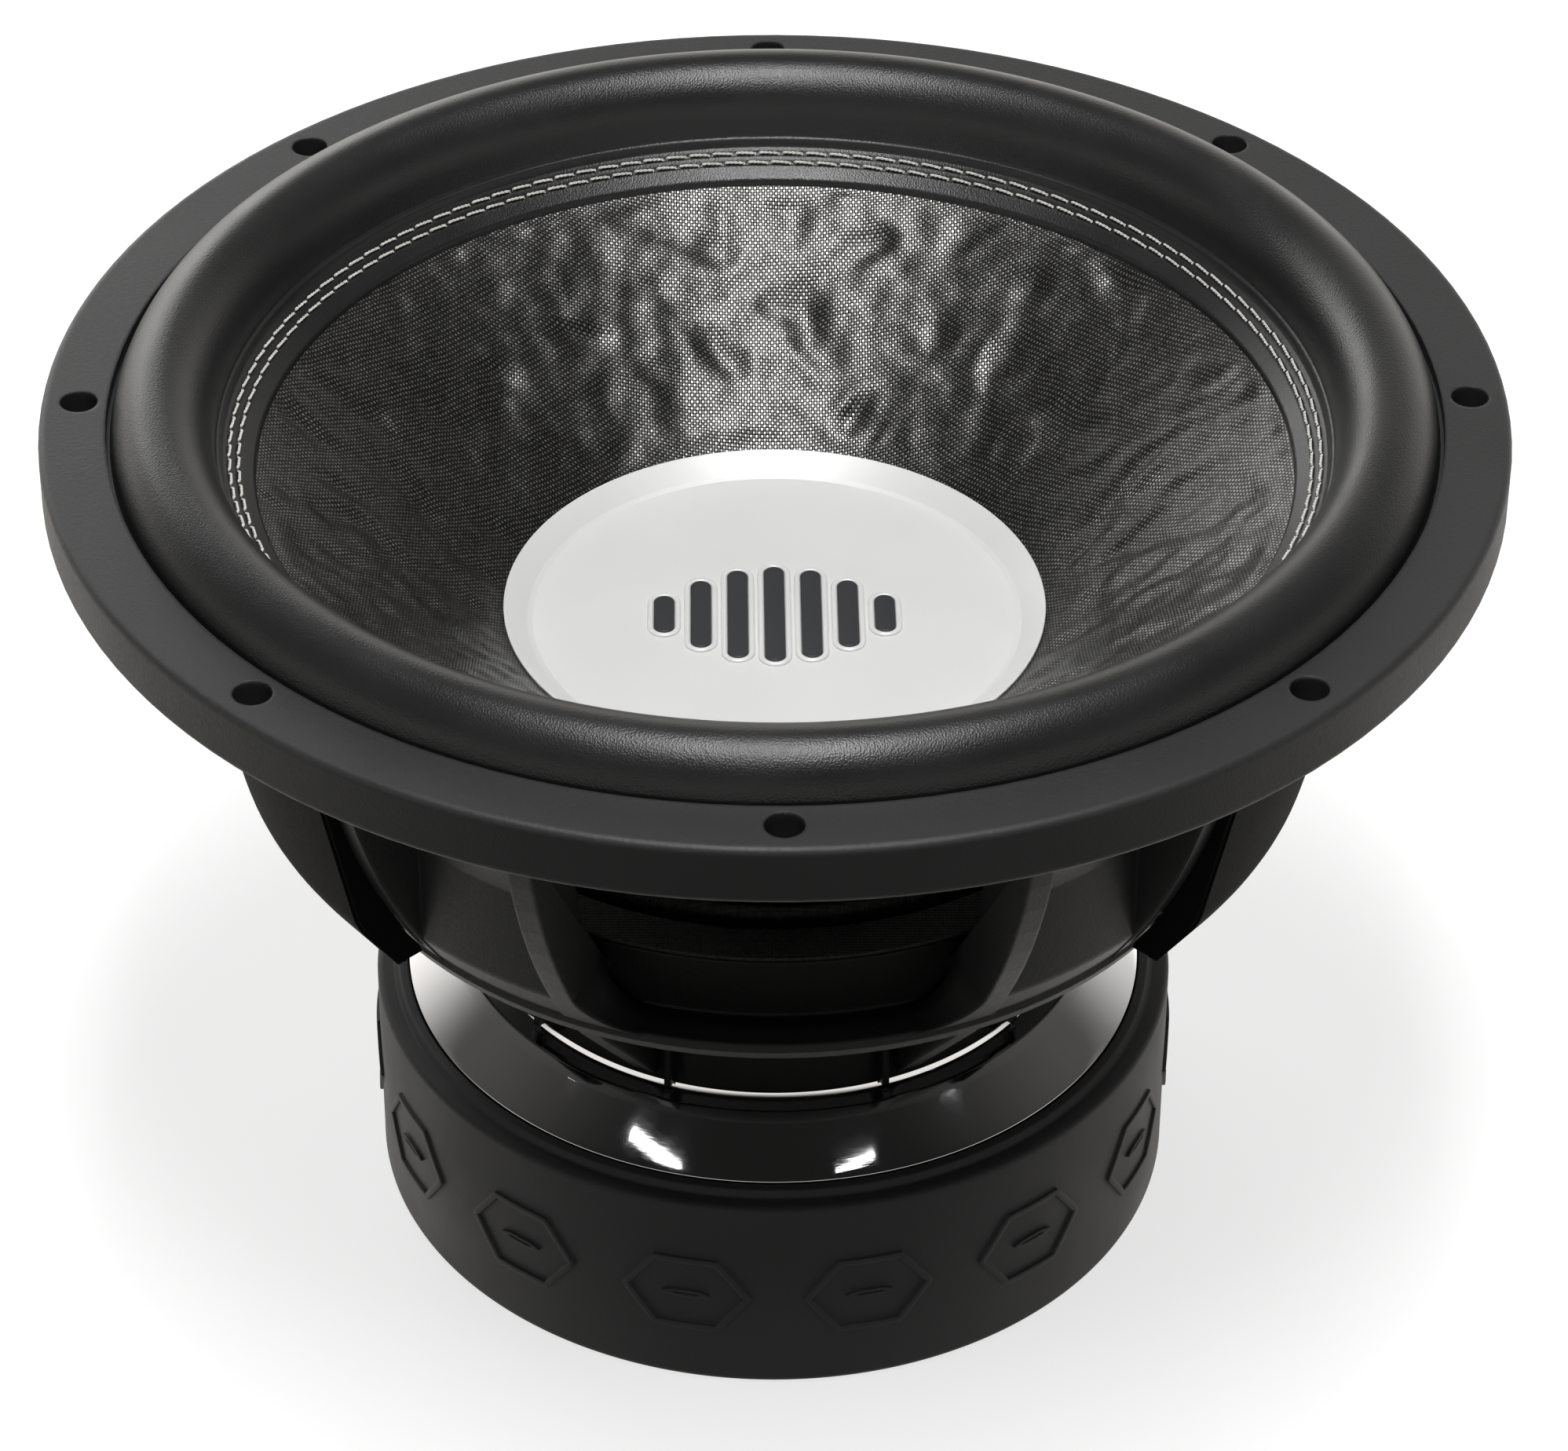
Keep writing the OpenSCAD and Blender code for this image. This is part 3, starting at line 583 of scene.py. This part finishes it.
def stitch(azimuth, pitch, row, slant):
    """One stitch: two twisted plies that come up through the lip and go down again."""
    length = 0.84 * pitch
    steps = np.linspace(0, 1, 13)
    tilt = math.atan(CONE_SLOPE)
    arch = 0.42 * MM * np.minimum(1, np.sin(np.pi * steps) * 2.2) - 0.30 * MM
    shapes = []
    for ply in (0, math.pi):
        path = []
        for t, rise in zip(steps, arch):
            twist = ply + t * FULL_TURN * 2.25
            side = 0.19 * MM * math.cos(twist) + slant * (t - 0.5)
            lift = rise + 0.25 * MM + 0.13 * MM * math.sin(twist)
            r = row + side * math.cos(tilt) - lift * math.sin(tilt)
            z = lip_z(row) + side * math.sin(tilt) + lift * math.cos(tilt)
            path.append(place(azimuth + (t - 0.5) * length, r, z))
        shapes.append(tube(path, 0.18 * MM, 6))
    return joined(shapes)


def stitches():
    pitch = FULL_TURN / 136
    for offset, (node, row) in zip((0.0, 0.5), STITCH_ROWS.items()):
        run = [stitch((i + offset) * pitch, pitch, row, 0.30 * MM) for i in range(136)]
        dressed(node + "_thread", joined(run), "thread", body=CONE_BODY, replaces=[node], sharp=60)


def crumple(x, y):
    """Height of the creases pressed into the cone's cloth, about -1 to 1."""
    warp = 0.5 * noise.noise(Vector((x / 0.021, y / 0.021, 3.1)))
    fold = noise.noise(Vector((x / 0.0125 + warp, y / 0.0095 - warp, 0.7)))
    swell = noise.noise(Vector((x / 0.034, y / 0.027, 8.3)))
    ripple = noise.noise(Vector((x / 0.0058, y / 0.0048, 5.9)))
    return 0.9 * (0.45 - math.sqrt(fold * fold + 0.01)) + 0.5 * fold + 0.5 * swell + 0.30 * ripple


def cone():
    """The crumpled cloth cone, whose two faces share their creases, with the collar on the former."""
    segments, rings = 540, 96
    radii = np.linspace(CONE_R, COLLAR_R + 1.0 * MM, rings)
    front = np.stack([radii, cone_z(radii)], axis=1)
    neck = [[COLLAR_IN_R, cone_z(COLLAR_IN_R)], [COLLAR_IN_R, low("cone")], [COLLAR_R, low("cone")],
            [COLLAR_R, cone_z(COLLAR_R) - CONE_T - 1 * MM]]
    back = front[::-1] - (0, CONE_T)
    profile = np.vstack([front, neck, back])
    vertices, faces = lathe(profile, segments)
    depth = 1.6 * MM * smooth(radii, CAP_R, CAP_R + 5 * MM) * (1 - smooth(radii, LIP_IN_R - 3 * MM, LIP_IN_R))
    depth = np.concatenate([depth, np.zeros(len(neck)), depth[::-1]])
    grid = vertices.reshape(segments, len(profile), 3)
    for i in range(segments):
        for k in np.nonzero(depth)[0]:
            if k < rings:
                lift = depth[k] * crumple(grid[i, k, 0], grid[i, k, 1])
                grid[i, k, 2] += lift
                grid[i, len(profile) - 1 - k, 2] += lift
    dressed("cone_cloth", (vertices, faces), "cone_weave", body=CONE_BODY, replaces=["cone"], sharp=50)


SPIDER_OUT_R = 82 * MM
SPIDER_IN_R = 44 * MM
SPIDER_PITCH = 8 * MM
SPIDER_AMP = 2 * MM
SPIDER_T = 0.8 * MM
SPIDER_MID = high("spider") - 2 * MM


def spider():
    """Corrugated cloth from the basket's ledge to a collar on the former."""
    wave_r = np.linspace(SPIDER_IN_R, SPIDER_OUT_R, 150)
    wave_z = SPIDER_MID + SPIDER_AMP * (np.cos(FULL_TURN * (wave_r - SPIDER_OUT_R) / SPIDER_PITCH) - 1)
    line = np.stack([np.concatenate([[COLLAR_R + 1.5 * MM], wave_r, [outer_radius("spider")]]),
                     np.concatenate([wave_z[:1], wave_z, [SPIDER_MID]])], axis=1)
    along = np.gradient(line, axis=0)
    along /= np.linalg.norm(along, axis=1)[:, None]
    across = np.stack([-along[:, 1], along[:, 0]], axis=1) * SPIDER_T / 2
    web = SPIDER_T / 2 + 0.8 * MM
    neck_z = line[0, 1]
    collar = [[COLLAR_IN_R, high("spider")], [COLLAR_IN_R, low("spider")], [COLLAR_R, low("spider")],
              [COLLAR_R, neck_z - web]]
    lid = [[COLLAR_R, neck_z + web], [COLLAR_R, high("spider")]]
    profile = np.vstack([collar, line - across, (line + across)[::-1], lid])
    segments = 180
    made = dressed("spider_cloth", lathe(profile, segments), "spider_cloth", replaces=["spider"], sharp=60)
    bend(made)


def dust_cap():
    """A shallow silver dish with a sloping rim and a raised moulding round each mark."""
    flat_r = CAP_R - 5.2 * MM
    flat_z = low("cap_badge") - 0.05 * MM
    t = 0.9 * MM
    profile = rounded([
        (0, flat_z - t, 0), (flat_r - 3 * MM, flat_z - t, 0), (flat_r, cone_z(flat_r) + 0.05 * MM, 0),
        (CAP_R, cone_z(CAP_R) + 0.05 * MM, 0), (CAP_R, cone_z(CAP_R) + t, 0.3 * MM),
        (flat_r, flat_z + 0.5 * MM, 0.5 * MM), (flat_r - 1.2 * MM, flat_z, 0.8 * MM), (0, flat_z, 0),
    ])
    dressed("cap_dish", lathe(profile, 256), "cap_silver", body=CONE_BODY, replaces=["dust_cap"], sharp=50,
            weld=True)
    rims = []
    for x, straight in badge_bars():
        path = stadium(x, straight, BAR_W / 2 + 0.75 * MM, flat_z + 0.15 * MM)
        rims.append(loop(path, oval(0, 0, 0.7 * MM, 0.5 * MM, 0, 330, 11)))
    dressed("cap_mouldings", joined(rims), "cap_silver", body=CONE_BODY, sharp=60)


BAR_W = 4.6 * MM
BAR_PITCH = 8.2 * MM


def badge_bars():
    """The place and straight length of each bar in the row of sound levels."""
    for step in range(-3, 4):
        yield step * BAR_PITCH, (3.4 + 28 * math.cos(math.radians(step * 26))) * MM


def stadium(x, straight, r, z):
    """A closed path round a bar along Y with half-round ends."""
    steps = 10
    turns = [math.pi * k / steps for k in range(steps + 1)]
    ends = [(1, turn) for turn in turns] + [(-1, turn + math.pi) for turn in turns]
    return np.array([(x + r * math.cos(a), side * straight / 2 + r * math.sin(a), z) for side, a in ends])


def loop(path, section):
    """Sweeps a section of (outward, up) points round a closed path that lies flat."""
    path, section = np.asarray(path), np.asarray(section)
    ahead = np.roll(path, -1, axis=0) - np.roll(path, 1, axis=0)
    ahead /= np.linalg.norm(ahead, axis=1)[:, None]
    outward = np.stack([ahead[:, 1], -ahead[:, 0], np.zeros(len(path))], axis=1)
    up = np.array((0, 0, 1.0))
    vertices = path[:, None] + outward[:, None] * section[None, :, :1] + up * section[None, :, 1:]
    n, m = len(path), len(section)
    i, k = np.meshgrid(np.arange(n), np.arange(m), indexing="ij")
    j, o = (i + 1) % n, (k + 1) % m
    faces = np.stack([i * m + k, j * m + k, j * m + o, i * m + o], axis=-1).reshape(-1, 4)
    return vertices.reshape(-1, 3), faces


def badge():
    """Plain sound-level bars with rounded edges."""
    bottom, top, soft = low("cap_badge"), high("cap_badge"), 0.25 * MM
    shapes = []
    for x, straight in badge_bars():
        rings = [stadium(x, straight, BAR_W / 2, bottom)]
        for a in np.linspace(0, math.pi / 2, 5):
            inset = soft * (1 - math.cos(a))
            rings.append(stadium(x, straight, BAR_W / 2 - inset, top - soft + soft * math.sin(a)))
        n = len(rings[0])
        faces = [[i * n + k, i * n + (k + 1) % n, (i + 1) * n + (k + 1) % n, (i + 1) * n + k]
                 for i in range(len(rings) - 1) for k in range(n)]
        faces += [list(range(n))[::-1], [(len(rings) - 1) * n + k for k in range(n)]]
        shapes.append((np.vstack(rings), faces))
    dressed("badge_bars", joined(shapes), "badge_grey", body=CONE_BODY, replaces=["cap_badge"], sharp=50)


# ---------------------------------------------------------------- motor

def top_plate():
    """The turned and chromed plate: a step by the basket's foot, a dished ring and a wide bevel."""
    flat_r, drop = 73.3 * MM, 1.8 * MM
    bevel_r = flat_r + 2.1 * MM
    bevel_z = PLATE_TOP - drop
    step_r = flat_r - 6.15 * MM
    swell = 0.1 * MM
    profile = rounded([
        (42.4 * MM, low("top_plate"), 0), (PLATE_R, low("top_plate"), 0.3 * MM),
        (PLATE_R, bevel_z - (PLATE_R - bevel_r), 0.5 * MM),
        ((PLATE_R + bevel_r) / 2 + swell, bevel_z - (PLATE_R - bevel_r) / 2 + swell, 220 * MM),
        (bevel_r, bevel_z, 0.25 * MM),
        (flat_r, PLATE_TOP, 1.0 * MM),
        (step_r + 0.55 * MM, PLATE_TOP - 1.1 * MM, 0.2 * MM),
        (step_r, PLATE_TOP, 0),
        (42.4 * MM, PLATE_TOP, 0.5 * MM),
    ])
    dressed("plate_turned", lathe(profile, 512), "plate_chrome", body=ROOT, replaces=["top_plate"], sharp=30)


def coil(node):
    """One layer of round wire, wound side by side on the former."""
    turns = 28
    inner, outer = outer_radius(node) - 1.3 * MM, outer_radius(node)
    pitch = (high(node) - low(node)) / turns
    profile = [[inner, high(node)], [inner, low(node)]]
    for i in range(turns):
        middle = low(node) + (i + 0.5) * pitch
        profile += oval((inner + outer) / 2, middle, (outer - inner) / 2, pitch / 2, -75, 75, 6).tolist()
    dressed(node + "_wound", lathe(profile, 128), "copper_wire", body=CONE_BODY, replaces=[node], sharp=60)


def vent_screen():
    """Wires woven over and under one another inside a rolled rim."""
    r = outer_radius("vent_screen") - 0.45 * MM
    middle = (low("vent_screen") + high("vent_screen")) / 2
    pitch = 1.55 * MM
    shapes = [lathe(oval(r, middle, 0.45 * MM, 0.45 * MM, 0, 330, 11), 96)]
    count = int(r / pitch)
    for i in range(-count, count + 1):
        half = math.sqrt(r * r - (i * pitch) ** 2)
        along = np.linspace(-half, half, 70)
        weave_z = 0.21 * MM * np.cos(math.pi * along / pitch + math.pi * i)
        across = np.full_like(along, i * pitch)
        shapes.append(tube(np.stack([along, across, middle + weave_z], axis=1), 0.2 * MM, 6))
        shapes.append(tube(np.stack([across, along, middle - weave_z], axis=1), 0.2 * MM, 6))
    dressed("vent_mesh", joined(shapes), "screen_wire", body=ROOT, replaces=["vent_screen"], sharp=70)


BOOT_R = 92 * MM
BOOT_WALL_R = PLATE_R + 0.2 * MM
BOOT_TOP = high("magnet_boot") - 1.6 * MM
RELIEF = 0.8 * MM
MOTIFS = 14


def hexagon_path(azimuth, w, h, middle, steps=10):
    """Points of a hexagon's outline wrapped round the boot, as (azimuth, z)."""
    corners = [(-w / 2, 0), (-w / 4, -h / 2), (w / 4, -h / 2), (w / 2, 0), (w / 4, h / 2), (-w / 4, h / 2)]
    points = []
    for i, start in enumerate(corners):
        end = corners[(i + 1) % 6]
        for k in range(steps):
            t = k / steps
            points.append((azimuth + (start[0] * (1 - t) + end[0] * t) / BOOT_R,
                           middle + start[1] * (1 - t) + end[1] * t))
    return np.array(points)


def raised_line(path, width):
    """A soft-edged raised line that follows a closed (azimuth, z) path on the boot."""
    middle = path.mean(axis=0)
    flat = (path - middle) * (BOOT_R, 1)
    ahead = np.roll(flat, -1, axis=0) - np.roll(flat, 1, axis=0)
    ahead /= np.linalg.norm(ahead, axis=1)[:, None]
    side = np.stack([ahead[:, 1], -ahead[:, 0]], axis=1)
    half, soft = width / 2, 0.35 * MM
    section = [(-half, -0.4 * MM), (-half, RELIEF - soft), (-half + 0.3 * soft, RELIEF - 0.3 * soft),
               (-half + soft, RELIEF), (half - soft, RELIEF), (half - 0.3 * soft, RELIEF - 0.3 * soft),
               (half, RELIEF - soft), (half, -0.4 * MM)]
    vertices = []
    for point, out in zip(flat, side):
        for across, rise in section:
            x, z = point + out * across
            vertices.append(place(middle[0] + x / BOOT_R, BOOT_R + rise, middle[1] + z))
    n, m = len(path), len(section)
    faces = [[i * m + k, (i + 1) % n * m + k, (i + 1) % n * m + (k + 1) % m, i * m + (k + 1) % m]
             for i in range(n) for k in range(m)]
    return np.array(vertices), faces


def boot():
    """The rubber boot: one moulded shell with a raised band of plain hexagons."""
    top = high("magnet_boot")
    profile = rounded([
        (78 * MM, 0, 0.5 * MM), (BOOT_R, 0, 2 * MM), (BOOT_R, BOOT_TOP, 1.5 * MM),
        (BOOT_WALL_R + 3.2 * MM, BOOT_TOP, 0.8 * MM), (BOOT_WALL_R + 2.2 * MM, top, 0.6 * MM),
        (BOOT_WALL_R, top, 0.5 * MM), (BOOT_WALL_R, 44.55 * MM, 0), (89.2 * MM, 44.55 * MM, 0),
        (89.2 * MM, 2.45 * MM, 0), (78 * MM, 2.45 * MM, 0.4 * MM),
    ])
    shapes = [lathe(profile, 288)]
    band_z = BOOT_TOP / 2
    for i in range(MOTIFS):
        azimuth = (i + 0.5) * FULL_TURN / MOTIFS
        shapes.append(raised_line(hexagon_path(azimuth, 28 * MM, 19.3 * MM, band_z), 1.7 * MM))
        shapes.append(raised_line(hexagon_path(azimuth, 10 * MM, 1.2 * MM, band_z, 4), 0.9 * MM))
    dressed("boot_shell", joined(shapes), "boot_rubber", body=ROOT, replaces=["magnet_boot"], sharp=35)


# ---------------------------------------------------------------- terminals and leads

def at_terminal(side, x, y, z):
    """A place in a terminal block's own frame, which has X outward and Y across."""
    a = side * TERMINAL_AZ
    return Vector((x * math.sin(a) + y * math.cos(a), -x * math.cos(a) + y * math.sin(a), z))


def curve(points, steps):
    """A smooth curve through points, with that many steps between each two."""
    points = np.asarray(points, float)
    padded = np.vstack([2 * points[0] - points[1], points, 2 * points[-1] - points[-2]])
    made = []
    for a, b, c, d in zip(padded, padded[1:], padded[2:], padded[3:]):
        for t in np.arange(steps) / steps:
            made.append(0.5 * (2 * b + (c - a) * t + (2 * a - 5 * b + 4 * c - d) * t ** 2
                               + (3 * b - a - 3 * c + d) * t ** 3))
    made.append(points[-1])
    return np.array(made)


SPRING_START = 107.6 * MM
SPRING_END = 118.9 * MM


def spring(name, side, y):
    """A coil spring behind a push button, built at one fixed length."""
    turns, steps, wire = 8.5, 16, 0.3 * MM
    t = np.linspace(0, 1, int(turns * steps) + 1)
    rise = smooth(t, 0.04, 0.96) * 0.35 + np.clip((t - 0.09) / 0.82, 0, 1) * 0.65
    path = []
    for share, ahead in zip(t, rise):
        a = share * turns * FULL_TURN
        x = SPRING_START + wire + ahead * (SPRING_END - SPRING_START - 2 * wire)
        path.append(at_terminal(side, x, y + 2.6 * MM * math.cos(a), 126 * MM + 2.6 * MM * math.sin(a)))
    made = dressed("coil_" + name, tube(path, wire, 7), "spring_wire", body=ROOT, replaces=[name], sharp=70)
    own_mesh(made)


LEAD_ROUTE = [
    (97, 8, 114.8), (95.9, 8, 116.2), (95.4, 8, 118.4), (95, 8, 121), (94, 8, 125), (91, 8, 128.4),
    (86, 8, 130.6), (80, 7.9, 131.4), (73, 7.7, 131), (66, 7.4, 129.8), (59, 6.9, 128.4), (53, 6.2, 127.6),
    (48, 5.4, 127.6), (44.5, 4.8, 128.2), (41.2, 4.4, 129.4),
]
FIXED_POINTS = 5


def lead(side, mirror):
    """A braided lead's shape, and a weight for each of its points, from 0 near the terminal to 1 at its end
    by the cone.
    """
    steps, sides = 10, 16
    route = curve([(x * MM, mirror * y * MM, z * MM) for x, y, z in LEAD_ROUTE], steps)
    path = [at_terminal(side, *point) for point in route]
    run = np.concatenate([[0], np.cumsum(np.linalg.norm(np.diff(route, axis=0), axis=1))])
    around = np.arange(sides) * FULL_TURN / sides
    phase = run[:, None] * FULL_TURN / (3.2 * MM)
    braid_height = np.abs(np.sin(2 * around + phase)) * np.abs(np.sin(2 * around - phase))
    shape = tube(path, 0.92 * MM + 0.22 * MM * braid_height, sides)
    start = run[FIXED_POINTS * steps]
    weights = smooth(run, start, run[-1]) * 0.5 + np.clip((run - start) / (run[-1] - start), 0, 1) * 0.5
    return shape, np.repeat(weights, sides)


def leads(name, side):
    shapes, weights = zip(*(lead(side, mirror) for mirror in (1, -1)))
    made = dressed(name + "_braid", joined(shapes), "lead_braid", replaces=[name], sharp=80)
    bend(made)


surround()
stitches()
cone()
dust_cap()
badge()
spider()
top_plate()
coil("coil_inner")
coil("coil_outer")
vent_screen()
boot()
for label, turn in (("left", -1), ("right", 1)):
    leads("leads_" + label, turn)
    for colour, pole in (("red", 1), ("black", -1)):
        spring(f"spring_{label}_{colour}", turn, -turn * pole * 8 * MM)


# ---------------------------------------------------------------- stage, camera and light

def camera():
    """The photograph's viewpoint: a long lens that looks down on the flange from the front."""
    azimuth, elevation = math.radians(-0.8), math.radians(33.43)
    pan, tilt, roll = math.radians(-0.10), math.radians(-3.30), math.radians(0.24)
    back = place(azimuth, math.cos(elevation), math.sin(elevation))
    turn = back.to_track_quat("Z", "Y").to_matrix().to_4x4()
    aim = Matrix.Rotation(pan, 4, "Y") @ Matrix.Rotation(tilt, 4, "X") @ Matrix.Rotation(roll, 4, "Z")
    data = bpy.data.cameras.new("camera")
    data.lens = 129.9
    data.sensor_width = 36
    made = bpy.data.objects.new("camera", data)
    bpy.context.scene.collection.objects.link(made)
    made.matrix_world = Matrix.Translation(Vector((0, 0, FLANGE_Z)) + back * 7.724 * FLANGE_R) @ turn @ aim
    bpy.context.scene.camera = made


def light(name, azimuth, elevation, distance, width, height, power):
    """A soft box that faces the driver from that direction."""
    data = bpy.data.lights.new(name, "AREA")
    data.shape = "RECTANGLE"
    data.size, data.size_y = width, height
    data.energy = power
    made = bpy.data.objects.new(name, data)
    bpy.context.scene.collection.objects.link(made)
    a, e = math.radians(azimuth), math.radians(elevation)
    back = place(a, math.cos(e), math.sin(e))
    made.matrix_world = (Matrix.Translation(Vector((0, 0, 0.15)) + back * distance)
                         @ back.to_track_quat("Z", "Y").to_matrix().to_4x4())


def set_piece(name, points, faces, material):
    """A piece of the studio, which is no part of the driver."""
    mesh = bpy.data.meshes.new(name)
    mesh.from_pydata(points, [], faces)
    mesh.materials.append(material)
    made = bpy.data.objects.new(name, mesh)
    bpy.context.scene.collection.objects.link(made)
    return made


def stage():
    """A pale floor under a dome of the same paint. Neither throws light on the driver."""
    size, below = 6, 0.0005
    corners = [(x, y, -below) for x, y in ((-size, -size), (size, -size), (size, size), (-size, size))]
    dome_r = 0.96 * size
    arc = oval(0, -below, dome_r, dome_r, 0, 90, 24)
    dome_points, dome_faces = lathe(arc, 64)
    s = Shade("floor")
    s.set(Base_Color=s.mix(s.noise(0.4), (0.50, 0.50, 0.50), (0.54, 0.54, 0.54)), Roughness=0.8,
          Specular_IOR_Level=0.1, Emission_Color=(1.0, 1.0, 1.0), Emission_Strength=0.72)
    floor = set_piece("floor", corners, [(0, 1, 2, 3)], s.material)
    dome = set_piece("backdrop", dome_points.tolist(), dome_faces.tolist(), s.material)
    dome.visible_shadow = False
    for part in (floor, dome):
        part.visible_diffuse = False
        part.visible_glossy = False


def room():
    """The light from all round, as a strength for each direction.

    It is bright low down behind the driver, and more so on its left. A low band in front lights the chrome's
    step, and the half below the horizon stands in for light off the floor.
    """
    world = bpy.data.worlds.new("room")
    bpy.context.scene.world = world
    world.use_nodes = True
    tree = world.node_tree
    split = tree.nodes.new("ShaderNodeSeparateXYZ")
    tree.links.new(tree.nodes.new("ShaderNodeTexCoord").outputs["Generated"], split.inputs[0])

    def ramp(axis, start, end, first, last):
        span = tree.nodes.new("ShaderNodeMapRange")
        span.interpolation_type = "SMOOTHSTEP"
        tree.links.new(split.outputs[axis], span.inputs[0])
        for value, socket in zip((start, end, first, last), list(span.inputs)[1:5]):
            socket.default_value = value
        return span.outputs[0]

    def combine(operation, a, b):
        node = tree.nodes.new("ShaderNodeMath")
        node.operation = operation
        for value, socket in zip((a, b), node.inputs):
            if isinstance(value, float):
                socket.default_value = value
            else:
                tree.links.new(value, socket)
        return node.outputs[0]

    behind = combine("MULTIPLY", ramp("Y", 0.25, 0.9, 0.0, 1.0), ramp("Z", 0.2, 0.6, 1.0, 0.05))
    behind = combine("MULTIPLY", behind, ramp("Z", -0.35, 0.0, 0.0, 1.0))
    behind = combine("MULTIPLY", behind, ramp("X", -0.6, 0.7, 1.4, 0.9))
    sides = ramp("Y", -0.6, 0.3, 0.012, 0.085)
    below = combine("MULTIPLY", ramp("Y", -0.7, 0.6, 0.07, 0.9), ramp("Z", -0.15, 0.0, 1.0, 0.0))
    horizon = combine("MULTIPLY", ramp("Z", 0.0, 0.05, 0.0, 0.95), ramp("Z", 0.22, 0.32, 1.0, 0.0))
    horizon = combine("MULTIPLY", horizon, ramp("Y", -0.2, 0.4, 1.0, 0.0))
    total = combine("ADD", combine("ADD", behind, sides), combine("ADD", below, horizon))
    tree.links.new(total, tree.nodes["Background"].inputs["Strength"])
    tree.nodes["Background"].inputs["Color"].default_value = (1.0, 0.975, 0.93, 1)


camera()
stage()
room()
light("overhead", 0, 81, 1.5, 0.36, 1.03, 22)
light("glint_left", -39, 39.6, 1.6, 0.40, 0.03, 0.3)
light("glint_right", 26, 40.8, 1.6, 0.28, 0.016, 0.075)
light("spark_left", -75, 37, 1.6, 0.07, 0.05, 0.14)
light("spark_right", 65, 39.5, 1.6, 0.05, 0.05, 0.1)
light("back_left", -150, 20, 1.1, 0.7, 0.3, 2.0)
bpy.context.scene.view_settings.view_transform = "Standard"
